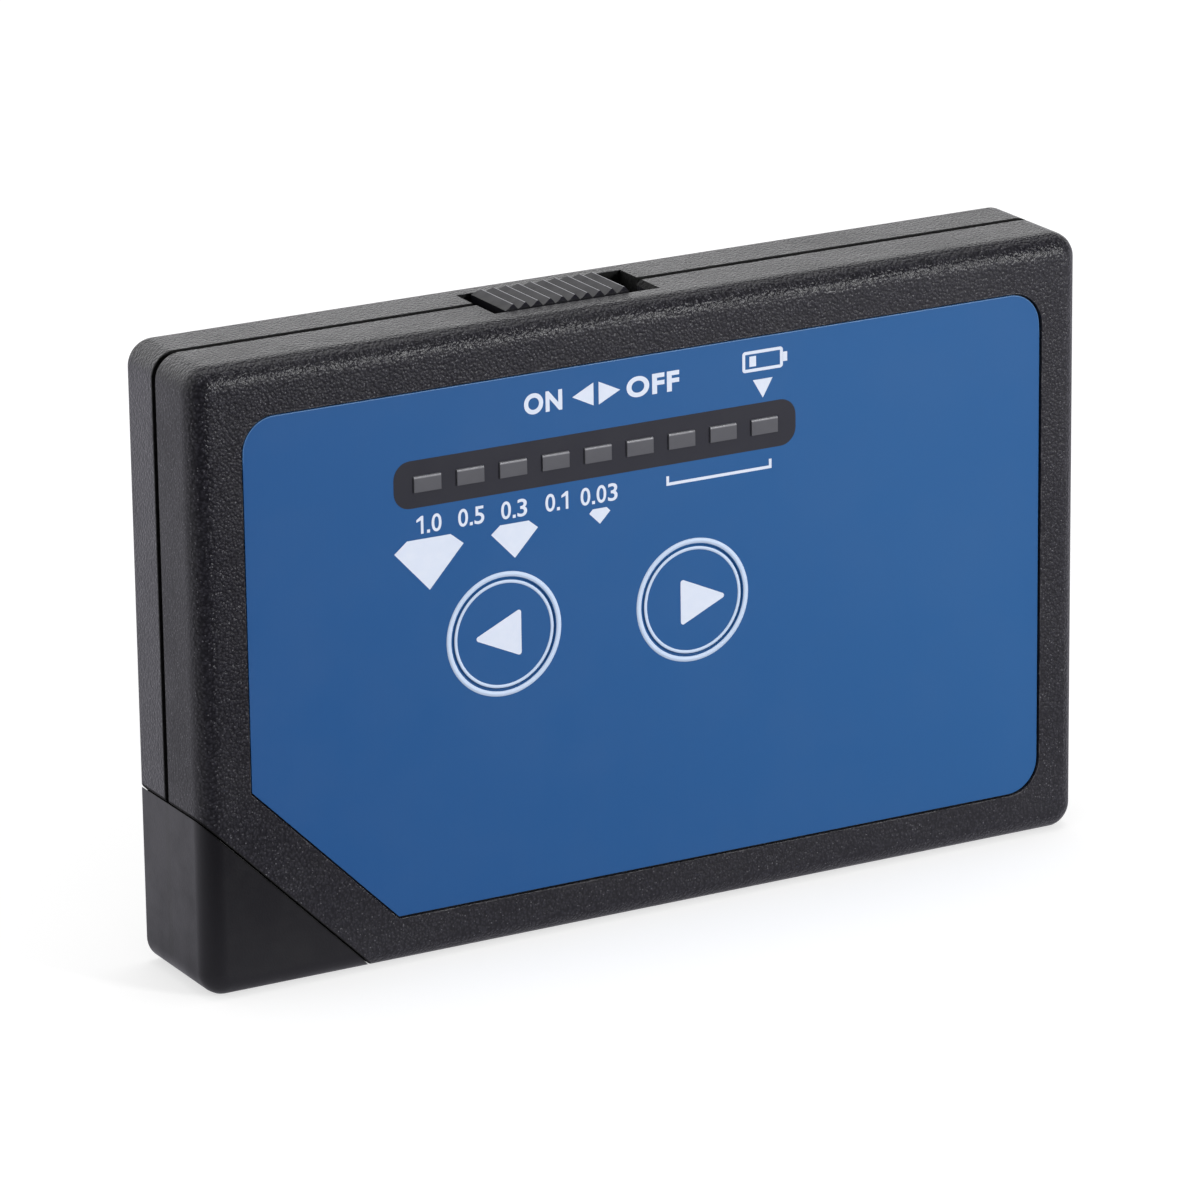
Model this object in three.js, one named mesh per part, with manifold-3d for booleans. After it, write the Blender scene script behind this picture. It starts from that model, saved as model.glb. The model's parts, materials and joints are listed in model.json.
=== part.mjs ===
// A pocket diamond tester: a flat two-part plastic case with a film-covered front, nine bar LEDs,
// two round keys, a ribbed power knob on its top edge, and a heated copper probe at one corner
// under a pull-off cap. Millimetres. X is the width, Y the depth (the front faces -Y), Z is up.
// The origin is the middle of the bottom edge that the tester stands on.

import * as THREE from "three";
import { mergeVertices } from "three/addons/utils/BufferGeometryUtils.js";
import Module from "manifold-3d";

const wasm = await Module();
wasm.setup();

// Case
const caseWidth = 92.8;
const caseHeight = 59;
const caseDepth = 13.2;
const cornerRadius = 2.4;
const frontFillet = 2.1;
const backFillet = 0.6;
const wall = 1.6;
const seamY = 0.9;
const seamGroove = 0.6;
const lipGap = 0.15;
const lipWall = 0.8;
const lipReach = 1.8;
const lipRoot = 1.9;
const lipNotchGap = 0.4;

// Corner cap and the spigot that it plugs onto
const capLeg = 17.15;
const capWall = 1.5;
const capSeam = 0.12;
const capStepInset = 0.5;
const capStepHeight = 0.7;
const capStepGap = 0.12;
const spigotGap = 0.25;
const spigotLength = 3;
const endWall = 1.5;

// Film overlay in its recess
const filmMargin = 5.05;
const filmMarginRight = 4.5;
const filmMarginBottom = 4.65;
const filmMarginSeam = 5;
const filmCorner = 3.2;
const filmThickness = 0.3;
const filmRecess = 0.5;
const filmGap = 0.15;

// Row of bar LEDs
const ledCount = 9;
const ledPitch = 4.38;
const ledRowX = -5.56;
const ledRowTopGap = 13.58;
const ledWidth = 2.75;
const ledHeight = 1.5;
const ledWindowGap = 0.03;
const ledFlangeRim = 0.35;
const ledFlangeThickness = 0.8;
const ledFlangeGap = 0.1;
const ledLeadWidth = 0.5;
const ledLeadSpacing = 1.8;

// Round keys
const keyX = [-15.49, 4.24];
const keyRiseShare = 0.429;
const keyRadius = 5.25;
const keyGap = 0.1;
const keyFaceEdge = 0.15;
const keyFlangeRim = 0.95;
const keyFlangeThickness = 0.7;
const keyFlangeGap = 0.3;
const keySides = 48;

// Tactile switches behind the keys
const tactSide = 6;
const tactPlungerShow = 0.8;
const tactPlungerRadius = 1.7;
const tactPlungerGap = 0.15;
const tactPlungerSink = 0.5;
const tactPocketDepth = 1;
const tactPinWidth = 0.7;
const tactPinRowShare = 0.25;

// Power slide knob on the top edge
const slotLeft = -13.58;
const slotLength = 16.13;
const slotFrontShare = 0.295;
const slotBackShare = 0.272;
const slotEndBreak = 0.5;
const slotBackReach = 0.5;
const knobLeft = -12.77;
const knobLength = 12.8;
const knobSideGap = 0.35;
const knobBackGap = 0.5;
const knobEndBreak = 0.34;
const knobRidges = 10;
const knobRidgeHeight = 0.48;
const knobCrestShare = 0.75;
const knobTravel = 2;
const knobFlangeThickness = 0.9;
const knobFlangeReach = 2.2;
const knobFlangeSideReach = 0.9;
const knobFlangeGap = 0.25;

// Slide switch under the knob
const switchLength = 9;
const switchDepth = 3.4;
const switchHeight = 4.4;
const switchDrop = 1.2;
const switchShell = 0.6;
const sliderLength = 3.2;
const sliderHeight = 1.4;
const sliderGap = 0.2;
const stubLength = 1.6;
const stubDepth = 1.3;
const stubSink = 0.9;

// Circuit board and what stands on it
const boardY = 0.2;
const boardThickness = 1.6;
const boardEdgeGap = 0.65;
const boardBottomZ = 19.8;
const boardTopGap = 0.85;
const boardProbeGap = 11.5;
const postRadius = 1.7;
const postPinRadius = 0.8;
const postPinGap = 0.15;
const postPinHeight = 2.2;
const postX = [-31, 19];
const postLowRise = 4.7;
const postTopGap = 8.5;
const chipBackGap = 0.78;
const chipLegReach = 1.1;
const chipLegWidth = 0.45;
const chipLegPitch = 1.27;
const driverChipLength = 11.6;
const driverChipWidth = 7.4;
const driverChipX = -5.3;
const driverChipDrop = 4.4;
const ampChipLength = 5;
const ampChipWidth = 4;
const ampChipX = -25;
const ampChipRise = 4.2;
const buzzerRadius = 6;
const buzzerBackGap = 0.38;
const buzzerPort = 1;
const buzzerPortDepth = 0.8;
const buzzerX = 30;
const buzzerRise = 8.2;
const capacitorFrontGap = 0.38;
const capacitorLength = 11;
const capacitorGroove = 0.25;
const capacitorGrooveWidth = 1.1;
const capacitorGrooveInset = 0.55;
const capacitorX = 26;
const capacitorTopGap = 12.5;
const boardSeat = 0.02;

// Battery, its bay and its contacts
const batteryPlay = 0.1;
const batteryLength = 28.5;
const batteryNubRadius = 1.9;
const batteryNubLength = 0.9;
const batteryCoverGap = 0.15;
const batteryZ = 10.6;
const batteryRightGap = 10.3;
const batteryGap = 0.3;
const contactThickness = 0.4;
const contactInset = 0.85;
const contactGap = 0.2;
const contactSpringWire = 0.55;
const contactSpringTurns = 4;
const contactSpringReach = 5.2;
const contactSpringTail = 2.9;
const contactSpringHead = 1.9;
const bayWall = 1.1;
const bayGap = 1.3;
const bayBackGap = 0.4;

// Battery cover on the back
const coverThickness = 1.2;
const coverWidth = 12.4;
const coverLeftReach = 3.6;
const coverTongue = 1;
const coverTongueThickness = 0.55;
const coverGap = 0.12;
const coverLipDepth = 4;
const coverLipThickness = 1.4;
const gripGrooves = 5;
const gripPitch = 1.6;
const gripDepth = 0.4;
const gripWidth = 0.7;
const gripInset = 4;
const gripMargin = 1.6;

// Case screws
const screwInset = 6;
const screwLowX = -22.5;
const screwLowZ = 6;
const screwSideZ = 22.8;
const bossRadius = 2.8;
const bossBackRadius = 3.2;
const bossSplit = 0.2;
const screwHeadRadius = 2.2;
const screwHeadHeight = 1.5;
const screwHeadGap = 0.25;
const screwHeadSink = 2.6;
const screwShankRadius = 1.1;
const screwShankGap = 0.1;
const screwTipGap = 1;
const screwPoint = 1.2;
const screwCross = 0.5;
const screwCrossSpan = 2.4;
const screwCrossDepth = 0.8;
const screwCrownShare = 0.62;
const screwShoulderShare = 0.9;
const screwCrownDropShare = 0.3;
const screwRimDropShare = 0.7;

// Probe, measured outward from the cap seam along the corner's diagonal
const collarWallGap = 1.1;
const collarNoseShare = 0.7;
const collarNose = 6;
const collarFlangeGap = 0.3;
const collarFlangeThickness = 1.3;
const collarGap = 0.3;
const sleeveShare = 0.5;
const sleeveBoreShare = 0.733;
const sleeveMouthShare = 0.5;
const sleeveGap = 0.1;
const sleeveEnd = 7.4;
const sleeveLip = 0.8;
const sleeveTail = 9.5;
const sleeveStop = 1.6;
const tipEnd = 9;
const tipShare = 0.4;
const tipShoulderShare = 0.633;
const tipBluntShare = 0.7;
const tipBluntDropShare = 0.3;
const tipShoulder = 1.4;
const tipTailShare = 0.233;
const tipTravel = 1;
const tipSeat = 0.15;
const springWireShare = 0.173;
const springShare = 0.48;
const springTurns = 7;

// Shared
const overrun = 1;
const sharpRadius = 0.3;
const weld = 0.0005;
const cornerSteps = 6;
const roundSides = 32;
const smallSides = 20;
const coilSteps = 8;
const coilSides = 5;

// Places worked out from the sizes above
const halfWidth = caseWidth / 2;
const frontY = -caseDepth / 2;
const backY = caseDepth / 2;
const innerFrontY = frontY + wall;
const innerBackY = backY - wall;
const innerTopZ = caseHeight - wall;
const recessY = frontY + filmRecess;
const filmFaceY = recessY - filmThickness;
const diagonal = Math.SQRT2;
const lipInset = wall + lipGap;
const ledRowZ = caseHeight - ledRowTopGap;
const slotFront = seamY - caseDepth * slotFrontShare;
const slotBack = seamY + caseDepth * slotBackShare;
const knobMiddle = knobLeft + knobLength / 2;
const knobFlangeTop = innerTopZ - knobFlangeGap;
const knobFlangeBottom = knobFlangeTop - knobFlangeThickness;
const switchTop = knobFlangeBottom - switchDrop;
const switchBottom = switchTop - switchHeight;
const switchY = boardY - switchDepth / 2;
const boardBack = boardY + boardThickness;
const boardSide = halfWidth - lipInset - lipWall - boardEdgeGap;
const boardTop = caseHeight - lipInset - lipWall - boardTopGap;
const keyBackY = innerFrontY + keyFlangeGap + keyFlangeThickness;
const tactFront = keyBackY + tactPlungerShow;
const coverInnerY = backY - coverThickness;
const batteryRadius = (coverInnerY - innerFrontY - batteryPlay) / 2;
const batteryY = coverInnerY - batteryCoverGap - batteryRadius;
const contactSide = 2 * (batteryRadius - contactInset);
const batteryRight = halfWidth - batteryRightGap;
const batteryLeft = batteryRight - batteryLength;
const bayLeft = batteryLeft - contactGap - contactThickness;
const bayRight = batteryRight + contactGap + contactSpringReach + contactThickness;
const bayFloor = lipInset + lipWall + boardEdgeGap / 2;
const bayTop = batteryZ + batteryRadius + bayGap;
const bayRoof = bayTop + bayWall;
const bayBackY = innerBackY - bayBackGap;
const keyZ = bayRoof + (ledRowZ - bayRoof) * keyRiseShare;
const coverLeft = batteryLeft - coverLeftReach;
const screwX = halfWidth - screwInset;
const screwTopZ = caseHeight - screwInset;
const screwPlaces = [
  [-screwX, screwTopZ],
  [screwX, screwTopZ],
  [screwX, screwSideZ],
  [screwLowX, screwLowZ],
];
const screwLength = backY - screwHeadSink - innerFrontY - screwTipGap;
const bossTopY = seamY + seamGroove / 2;
const postZ = [boardBottomZ + postLowRise, caseHeight - postTopGap];
const chipHeight = innerBackY - boardBack - boardSeat - chipBackGap;
const buzzerHeight = innerBackY - boardBack - boardSeat - buzzerBackGap;
const capacitorRadius = (boardY - boardSeat - innerFrontY - capacitorFrontGap) / 2;
const capacitorZ = caseHeight - capacitorTopGap;
const probeX = -halfWidth + capLeg / 2;
const probeZ = capLeg / 2;
const collarFlangeRadius = innerBackY - seamY - collarFlangeGap;
const collarRadius = innerBackY - seamY - collarWallGap;
const sleeveRadius = collarRadius * sleeveShare;
const sleeveBore = sleeveRadius * sleeveBoreShare;
const sleeveMouth = sleeveRadius * sleeveMouthShare;
const tipRadius = sleeveRadius * tipShare;
const tipShoulderRadius = sleeveRadius * tipShoulderShare;
const springWire = sleeveRadius * springWireShare;

// Finishes
const plastic = (color, roughness) => new THREE.MeshStandardMaterial({ color, roughness, metalness: 0 });
const metal = (color, roughness) => new THREE.MeshStandardMaterial({ color, roughness, metalness: 1 });
const grained = 0.62;
const satin = 0.45;
const glossy = 0.3;
const finish = {
  shell: plastic("#2b2a2d", grained),
  cap: plastic("#1f1f22", satin),
  film: plastic("#2f5c96", satin),
  led: plastic("#626065", glossy),
  knob: plastic("#343337", satin),
  board: plastic("#2c6b3a", satin),
  chip: plastic("#1c1c1e", grained),
  ceramic: plastic("#101012", glossy),
  steel: metal("#b8babd", glossy),
  copper: metal("#c4794a", glossy),
  battery: plastic("#8b8f96", glossy),
};

// A closed geometry as a solid: its corners are welded and its empty triangles left out.
function solidFrom(geometry) {
  const loose = geometry.index ? geometry.toNonIndexed() : geometry;
  const bare = new THREE.BufferGeometry();
  bare.setAttribute("position", loose.getAttribute("position"));
  const merged = mergeVertices(bare, weld);
  const corners = merged.index.array;
  const kept = [];
  for (let i = 0; i < corners.length; i += 3) {
    const [a, b, c] = [corners[i], corners[i + 1], corners[i + 2]];
    if (a !== b && b !== c && c !== a) kept.push(a, b, c);
  }
  return new wasm.Manifold(
    new wasm.Mesh({
      numProp: 3,
      vertProperties: new Float32Array(merged.attributes.position.array),
      triVerts: new Uint32Array(kept),
    }),
  );
}

// A solid as a named mesh.
function meshFrom(name, solid, material) {
  const made = solid.getMesh();
  const indexed = new THREE.BufferGeometry();
  const points = new Float32Array(made.numVert * 3);
  for (let i = 0; i < made.numVert; i += 1) {
    const start = i * made.numProp;
    points.set(made.vertProperties.subarray(start, start + 3), i * 3);
  }
  indexed.setAttribute("position", new THREE.BufferAttribute(points, 3));
  indexed.setIndex(new THREE.BufferAttribute(made.triVerts, 1));
  const geometry = indexed.toNonIndexed();
  geometry.computeVertexNormals();
  const mesh = new THREE.Mesh(geometry, material);
  mesh.name = name;
  return mesh;
}

const join = (solids) => solids.reduce((whole, next) => whole.add(next));
const cut = (solid, tools) => tools.reduce((rest, tool) => rest.subtract(tool), solid);

// A block between two corners.
function block(x0, x1, y0, y1, z0, z1) {
  const geometry = new THREE.BoxGeometry(x1 - x0, y1 - y0, z1 - z0);
  geometry.translate((x0 + x1) / 2, (y0 + y1) / 2, (z0 + z1) / 2);
  return solidFrom(geometry);
}

// A block by its middle and its sizes in X and Z, between two depths.
function slab(x, z, width, height, y0, y1) {
  return block(x - width / 2, x + width / 2, y0, y1, z - height / 2, z + height / 2);
}

// A shape drawn as seen from the front, in X and Z, carried from one depth to another.
// With a fillet, the shape is the widest outline and both ends round off by that radius.
function plate(shape, y0, y1, fillet = 0) {
  const geometry = new THREE.ExtrudeGeometry(shape, {
    depth: y1 - y0 - 2 * fillet,
    curveSegments: cornerSteps,
    bevelEnabled: fillet > 0,
    bevelThickness: fillet,
    bevelSize: fillet,
    bevelOffset: -fillet,
    bevelSegments: cornerSteps,
  });
  geometry.rotateX(Math.PI / 2);
  geometry.translate(0, y1 - fillet, 0);
  return solidFrom(geometry);
}

// A round disc or rod along Y.
function disc(radius, x, z, y0, y1, sides = roundSides) {
  const geometry = new THREE.CylinderGeometry(radius, radius, y1 - y0, sides);
  geometry.translate(x, (y0 + y1) / 2, z);
  return solidFrom(geometry);
}

// A round rod along X.
function rodAlongX(radius, x0, x1, y, z, sides = roundSides) {
  const geometry = new THREE.CylinderGeometry(radius, radius, x1 - x0, sides);
  geometry.rotateZ(Math.PI / 2);
  geometry.translate((x0 + x1) / 2, y, z);
  return solidFrom(geometry);
}

// A turned piece about the Y axis from [radius, height] pairs, in the order that faces it outwards.
function turned(pairs, sides) {
  const profile = pairs.map(([radius, height]) => new THREE.Vector2(radius, height));
  return new THREE.LatheGeometry(profile, sides);
}

function roundedRectangle(x0, z0, x1, z1, radius) {
  const shape = new THREE.Shape();
  shape.moveTo(x0 + radius, z0);
  shape.lineTo(x1 - radius, z0);
  shape.absarc(x1 - radius, z0 + radius, radius, -Math.PI / 2, 0);
  shape.lineTo(x1, z1 - radius);
  shape.absarc(x1 - radius, z1 - radius, radius, 0, Math.PI / 2);
  shape.lineTo(x0 + radius, z1);
  shape.absarc(x0 + radius, z1 - radius, radius, Math.PI / 2, Math.PI);
  shape.lineTo(x0, z0 + radius);
  shape.absarc(x0 + radius, z0 + radius, radius, Math.PI, 1.5 * Math.PI);
  return shape;
}

// The case outline drawn in by an inset.
function caseOutline(inset) {
  const radius = Math.max(cornerRadius - inset, sharpRadius);
  return roundedRectangle(-halfWidth + inset, inset, halfWidth - inset, caseHeight - inset, radius);
}

// The whole outer form, drawn in by an inset: a large fillet round the front edge and a small one
// round the back edge.
function caseForm(inset = 0) {
  const outline = caseOutline(inset);
  const frontRound = Math.max(frontFillet - inset, 0);
  const backRound = Math.max(backFillet - inset, 0);
  const far = frontFillet + overrun;
  const front = plate(outline, frontY + inset, backY + far, frontRound);
  const back = plate(outline, frontY - far, backY - inset, backRound);
  return front.intersect(back);
}

// The three-cornered prism of the lower left corner, up to a leg measured along both edges.
function cornerPrism(leg) {
  const shape = new THREE.Shape();
  shape.moveTo(-halfWidth - overrun, -overrun);
  shape.lineTo(-halfWidth + leg + overrun, -overrun);
  shape.lineTo(-halfWidth - overrun, leg + overrun);
  shape.closePath();
  return plate(shape, frontY - overrun, backY + overrun);
}

// A rod or turned geometry made along Y, laid on the probe's diagonal with +Y pointing outward.
function probeMatrix() {
  const outward = new THREE.Vector3(-1, 0, -1).normalize();
  const turn = new THREE.Quaternion().setFromUnitVectors(new THREE.Vector3(0, 1, 0), outward);
  const place = new THREE.Vector3(probeX, seamY, probeZ);
  return new THREE.Matrix4().compose(place, turn, new THREE.Vector3(1, 1, 1));
}

function probeBore(radius, from, to) {
  const geometry = new THREE.CylinderGeometry(radius, radius, to - from, roundSides);
  geometry.translate(0, (from + to) / 2, 0);
  geometry.applyMatrix4(probeMatrix());
  return solidFrom(geometry);
}

// The film's outline, cut off along the cap seam at the lower left.
function filmOutline(grow) {
  const margin = filmMargin - grow;
  const radius = filmCorner + grow;
  const left = -halfWidth + margin;
  const right = halfWidth - filmMarginRight + grow;
  const top = caseHeight - margin;
  const bottom = filmMarginBottom - grow;
  const leg = capLeg + (filmMarginSeam - grow) * diagonal;
  const shape = new THREE.Shape();
  shape.moveTo(-halfWidth + leg - bottom, bottom);
  shape.lineTo(right - radius, bottom);
  shape.absarc(right - radius, bottom + radius, radius, -Math.PI / 2, 0);
  shape.lineTo(right, top - radius);
  shape.absarc(right - radius, top - radius, radius, 0, Math.PI / 2);
  shape.lineTo(left + radius, top);
  shape.absarc(left + radius, top - radius, radius, Math.PI / 2, Math.PI);
  shape.lineTo(left, leg - margin);
  shape.closePath();
  return shape;
}

const ledX = (i) => ledRowX + (i - (ledCount - 1) / 2) * ledPitch;

function ledWindows(y0, y1) {
  const windows = [];
  for (let i = 0; i < ledCount; i += 1) {
    const width = ledWidth + 2 * ledWindowGap;
    windows.push(slab(ledX(i), ledRowZ, width, ledHeight + 2 * ledWindowGap, y0, y1));
  }
  return windows;
}

function keyHoles(y0, y1) {
  return keyX.map((x) => disc(keyRadius + keyGap, x, keyZ, y0, y1, keySides));
}

// The slot for the power knob. Its ends slope down where they are cut in the front half.
function knobSlot() {
  const right = slotLeft + slotLength;
  const bottom = innerTopZ - overrun;
  const top = caseHeight + overrun;
  const opening = block(slotLeft, right, slotFront, slotBack, bottom, top);
  const backHalfOpening = block(
    slotLeft - slotBackReach,
    right + slotBackReach,
    seamY,
    slotBack,
    bottom,
    top,
  );
  const shape = new THREE.Shape();
  shape.moveTo(slotLeft - slotEndBreak, caseHeight + overrun);
  shape.lineTo(slotLeft - slotEndBreak, caseHeight);
  shape.lineTo(slotLeft, caseHeight - slotEndBreak);
  shape.lineTo(right, caseHeight - slotEndBreak);
  shape.lineTo(right + slotEndBreak, caseHeight);
  shape.lineTo(right + slotEndBreak, caseHeight + overrun);
  shape.closePath();
  return join([opening, backHalfOpening, plate(shape, slotFront, seamY)]);
}

// A stub that stands out from the cap seam, drawn in from the case's outer form.
function cornerStub(inset, length) {
  const reach = caseForm(inset).intersect(cornerPrism(capLeg + endWall));
  return reach.subtract(cornerPrism(capLeg - length * diagonal));
}

// Both shells before they are parted: the hollow case with its corner cut off, and the spigot.
function hollowCase() {
  const hollow = plate(caseOutline(wall), innerFrontY, innerBackY);
  const room = hollow.subtract(cornerPrism(capLeg + endWall * diagonal));
  const body = caseForm().subtract(cornerPrism(capLeg)).subtract(room);
  const spigot = cornerStub(capWall + spigotGap, spigotLength);
  const step = cornerStub(capStepInset, capStepHeight);
  const bore = probeBore(collarRadius + collarGap, -endWall - overrun, spigotLength + overrun);
  return cut(join([body, spigot, step]), [bore, knobSlot()]);
}

function frontHalf(solid, y) {
  return solid.intersect(block(-caseWidth, caseWidth, -caseDepth, y, -caseHeight, 2 * caseHeight));
}

function backHalf(solid, y) {
  return solid.intersect(block(-caseWidth, caseWidth, y, caseDepth, -caseHeight, 2 * caseHeight));
}

// The walls of the battery bay: two ends and a roof, standing on the front wall.
function batteryBay() {
  const start = innerFrontY - overrun / 2;
  const left = block(bayLeft - bayWall, bayLeft, start, bayBackY, bayFloor, bayTop);
  const right = block(bayRight, bayRight + bayWall, start, bayBackY, bayFloor, bayTop);
  const roof = block(bayLeft - bayWall, bayRight + bayWall, start, bayBackY, bayTop, bayRoof);
  return [left, right, roof];
}

function boardPosts() {
  const posts = [];
  for (const x of postX) {
    for (const z of postZ) {
      posts.push(disc(postRadius, x, z, innerFrontY - overrun / 2, boardY - boardSeat, smallSides));
      posts.push(disc(postPinRadius, x, z, innerFrontY, boardY + postPinHeight, smallSides));
    }
  }
  return posts;
}

function frontShell() {
  const shell = frontHalf(hollowCase(), seamY - seamGroove / 2);
  const start = innerFrontY - overrun / 2;
  const bosses = screwPlaces.map(([x, z]) => disc(bossRadius, x, z, start, bossTopY - bossSplit));
  const solid = join([shell, ...bosses, ...boardPosts(), ...batteryBay()]);
  const pilotEnd = backY - screwHeadSink - screwLength - screwShankGap;
  const pilot = screwShankRadius + screwShankGap;
  const pilots = screwPlaces.map(([x, z]) => disc(pilot, x, z, pilotEnd, backY, smallSides));
  const scoop = rodAlongX(batteryRadius + batteryGap, bayLeft, bayRight, batteryY, batteryZ);
  return cut(solid, [
    plate(filmOutline(filmGap), frontY - overrun, recessY),
    ...ledWindows(frontY - overrun, innerFrontY + overrun),
    ...keyHoles(frontY - overrun, innerFrontY + overrun),
    ...pilots,
    scoop,
  ]);
}

// The lip of the back shell that closes the seam from inside.
function seamLip() {
  const start = seamY - lipReach;
  const joinY = seamY + seamGroove / 2;
  const inner = caseOutline(lipInset + lipWall);
  const lip = plate(caseOutline(lipInset), start, joinY + lipRoot);
  const root = plate(caseOutline(wall / 2), joinY, joinY + lipRoot);
  const ring = lip.add(root).subtract(plate(inner, start - overrun, joinY + lipRoot + overrun));
  const flangeRoom = block(
    slotLeft - knobFlangeReach - knobTravel,
    slotLeft + slotLength + knobFlangeReach + knobTravel,
    start - overrun,
    backY - wall,
    knobFlangeBottom - overrun,
    innerTopZ + lipGap,
  );
  const bossRoom = screwPlaces.map(([x, z]) =>
    disc(bossRadius + lipNotchGap, x, z, start - overrun, bossTopY),
  );
  const endRoom = cornerPrism(capLeg + (endWall + lipNotchGap) * diagonal);
  return cut(ring, [flangeRoom, endRoom, ...bossRoom]);
}

// The stepped opening of the battery cover: its rails hold the cover's tongues.
function coverOpening(grow) {
  const half = coverWidth / 2 + grow;
  const rail = half + coverTongue;
  const tongueTop = coverInnerY + coverTongueThickness + grow;
  const right = halfWidth + overrun;
  const z = batteryZ;
  return join([
    block(coverLeft - grow, right, innerBackY - overrun, backY + overrun, z - half, z + half),
    block(coverLeft - coverTongue - grow, right, innerBackY - overrun, tongueTop, z - rail, z + rail),
    block(
      halfWidth - coverLipThickness - grow,
      right,
      backY - coverLipDepth - grow,
      backY + overrun,
      z - rail,
      z + rail,
    ),
  ]);
}

function backShell() {
  const joinY = seamY + seamGroove / 2;
  const shell = backHalf(hollowCase(), joinY).add(seamLip());
  const bosses = screwPlaces.map(([x, z]) =>
    disc(bossBackRadius, x, z, bossTopY, innerBackY + overrun / 2),
  );
  const holes = [];
  for (const [x, z] of screwPlaces) {
    holes.push(disc(screwShankRadius + screwShankGap, x, z, frontY, backY, smallSides));
    holes.push(disc(screwHeadRadius + screwHeadGap, x, z, backY - screwHeadSink, backY + overrun));
  }
  const wallRoom = block(
    halfWidth - wall - coverGap,
    halfWidth + overrun,
    backY - coverLipDepth - coverGap,
    innerBackY,
    batteryZ - coverWidth / 2 - coverTongue - coverGap,
    batteryZ + coverWidth / 2 + coverTongue + coverGap,
  );
  return cut(join([shell, ...bosses]), [...holes, knobSlot(), coverOpening(coverGap), wallRoom]);
}

// The sliding cover: a plate with tongues on three sides and a lip over the case's end.
function batteryCover() {
  const half = coverWidth / 2;
  const rail = half + coverTongue;
  const z = batteryZ;
  const tongueTop = coverInnerY + coverTongueThickness;
  const body = join([
    block(coverLeft, halfWidth, coverInnerY, backY, z - half, z + half),
    block(coverLeft - coverTongue, halfWidth, coverInnerY, tongueTop, z - rail, z + rail),
    block(halfWidth - coverLipThickness, halfWidth, backY - coverLipDepth, backY, z - rail, z + rail),
  ]);
  const grooves = [];
  for (let i = 0; i < gripGrooves; i += 1) {
    const x = halfWidth - gripInset - i * gripPitch;
    grooves.push(slab(x, z, gripWidth, coverWidth - 2 * gripMargin, backY - gripDepth, backY + overrun));
  }
  return cut(body.intersect(caseForm()), grooves);
}

// The hollow corner cap, open on the side that plugs over the spigot.
function cornerCap() {
  const leg = capLeg - capSeam * diagonal;
  const body = caseForm().intersect(cornerPrism(leg));
  const hollow = plate(caseOutline(capWall), frontY + capWall, backY - capWall);
  const rebate = cornerStub(capStepInset - capStepGap, capStepHeight + capStepGap);
  return cut(body, [hollow, rebate]);
}

function filmOverlay() {
  const sheet = plate(filmOutline(0), filmFaceY, recessY);
  const openings = [
    ...ledWindows(frontY - overrun, recessY + overrun),
    ...keyHoles(frontY - overrun, recessY + overrun),
  ];
  return cut(sheet, openings);
}

// One bar LED: its face stands a little proud of the film, its flange bears on the front wall.
function barLed(x) {
  const flangeFront = innerFrontY + ledFlangeGap;
  const flangeBack = flangeFront + ledFlangeThickness;
  const rim = 2 * ledFlangeRim;
  const leads = [-1, 1].map((side) =>
    slab(
      x + (side * ledLeadSpacing) / 2,
      ledRowZ,
      ledLeadWidth,
      ledLeadWidth,
      flangeFront,
      boardY - boardSeat,
    ),
  );
  return join([
    slab(x, ledRowZ, ledWidth, ledHeight, frontY, flangeBack),
    slab(x, ledRowZ, ledWidth + rim, ledHeight + rim, flangeFront, flangeBack),
    ...leads,
  ]);
}

// A round key: a disc level with the film, and a flange that keeps it behind the front wall.
function roundKey(x) {
  const flangeRadius = keyRadius + keyFlangeRim;
  const profile = [
    [0, -keyBackY],
    [flangeRadius, -keyBackY],
    [flangeRadius, -keyBackY + keyFlangeThickness],
    [keyRadius, -keyBackY + keyFlangeThickness],
    [keyRadius, -filmFaceY - keyFaceEdge],
    [keyRadius - keyFaceEdge, -filmFaceY],
    [0, -filmFaceY],
  ];
  const geometry = turned(profile, keySides);
  geometry.rotateX(Math.PI);
  geometry.translate(x, 0, keyZ);
  return solidFrom(geometry);
}

// A four-legged tactile switch with a round pocket for its plunger.
function tactSwitch(x) {
  const body = slab(x, keyZ, tactSide, tactSide, tactFront, boardY - boardSeat);
  const pins = [];
  for (const side of [-1, 1]) {
    for (const row of [-1, 1]) {
      const z = keyZ + row * tactSide * tactPinRowShare;
      const px = x + (side * tactSide) / 2;
      pins.push(slab(px, z, 2 * tactPinWidth, tactPinWidth, boardY - tactPinWidth, boardY - boardSeat));
    }
  }
  const pocket = disc(
    tactPlungerRadius + tactPlungerGap,
    x,
    keyZ,
    tactFront - overrun,
    tactFront + tactPocketDepth,
    smallSides,
  );
  return join([body, ...pins]).subtract(pocket);
}

function tactPlunger(x) {
  return disc(tactPlungerRadius, x, keyZ, keyBackY, tactFront + tactPlungerSink, smallSides);
}

// A bar along X whose two long top edges are sloped. The ridges are cut to it, which slopes their ends.
function knobEnds(front, back) {
  const top = caseHeight + knobRidgeHeight;
  const shape = new THREE.Shape();
  shape.moveTo(front, knobFlangeBottom - overrun);
  shape.lineTo(back, knobFlangeBottom - overrun);
  shape.lineTo(back, top - knobEndBreak);
  shape.lineTo(back - knobEndBreak, top);
  shape.lineTo(front + knobEndBreak, top);
  shape.lineTo(front, top - knobEndBreak);
  shape.closePath();
  const length = knobLength + 2 * overrun;
  const geometry = new THREE.ExtrudeGeometry(shape, { depth: length, bevelEnabled: false });
  geometry.rotateY(Math.PI / 2);
  geometry.rotateX(Math.PI / 2);
  geometry.translate(knobLeft - overrun, 0, 0);
  return solidFrom(geometry);
}

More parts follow.
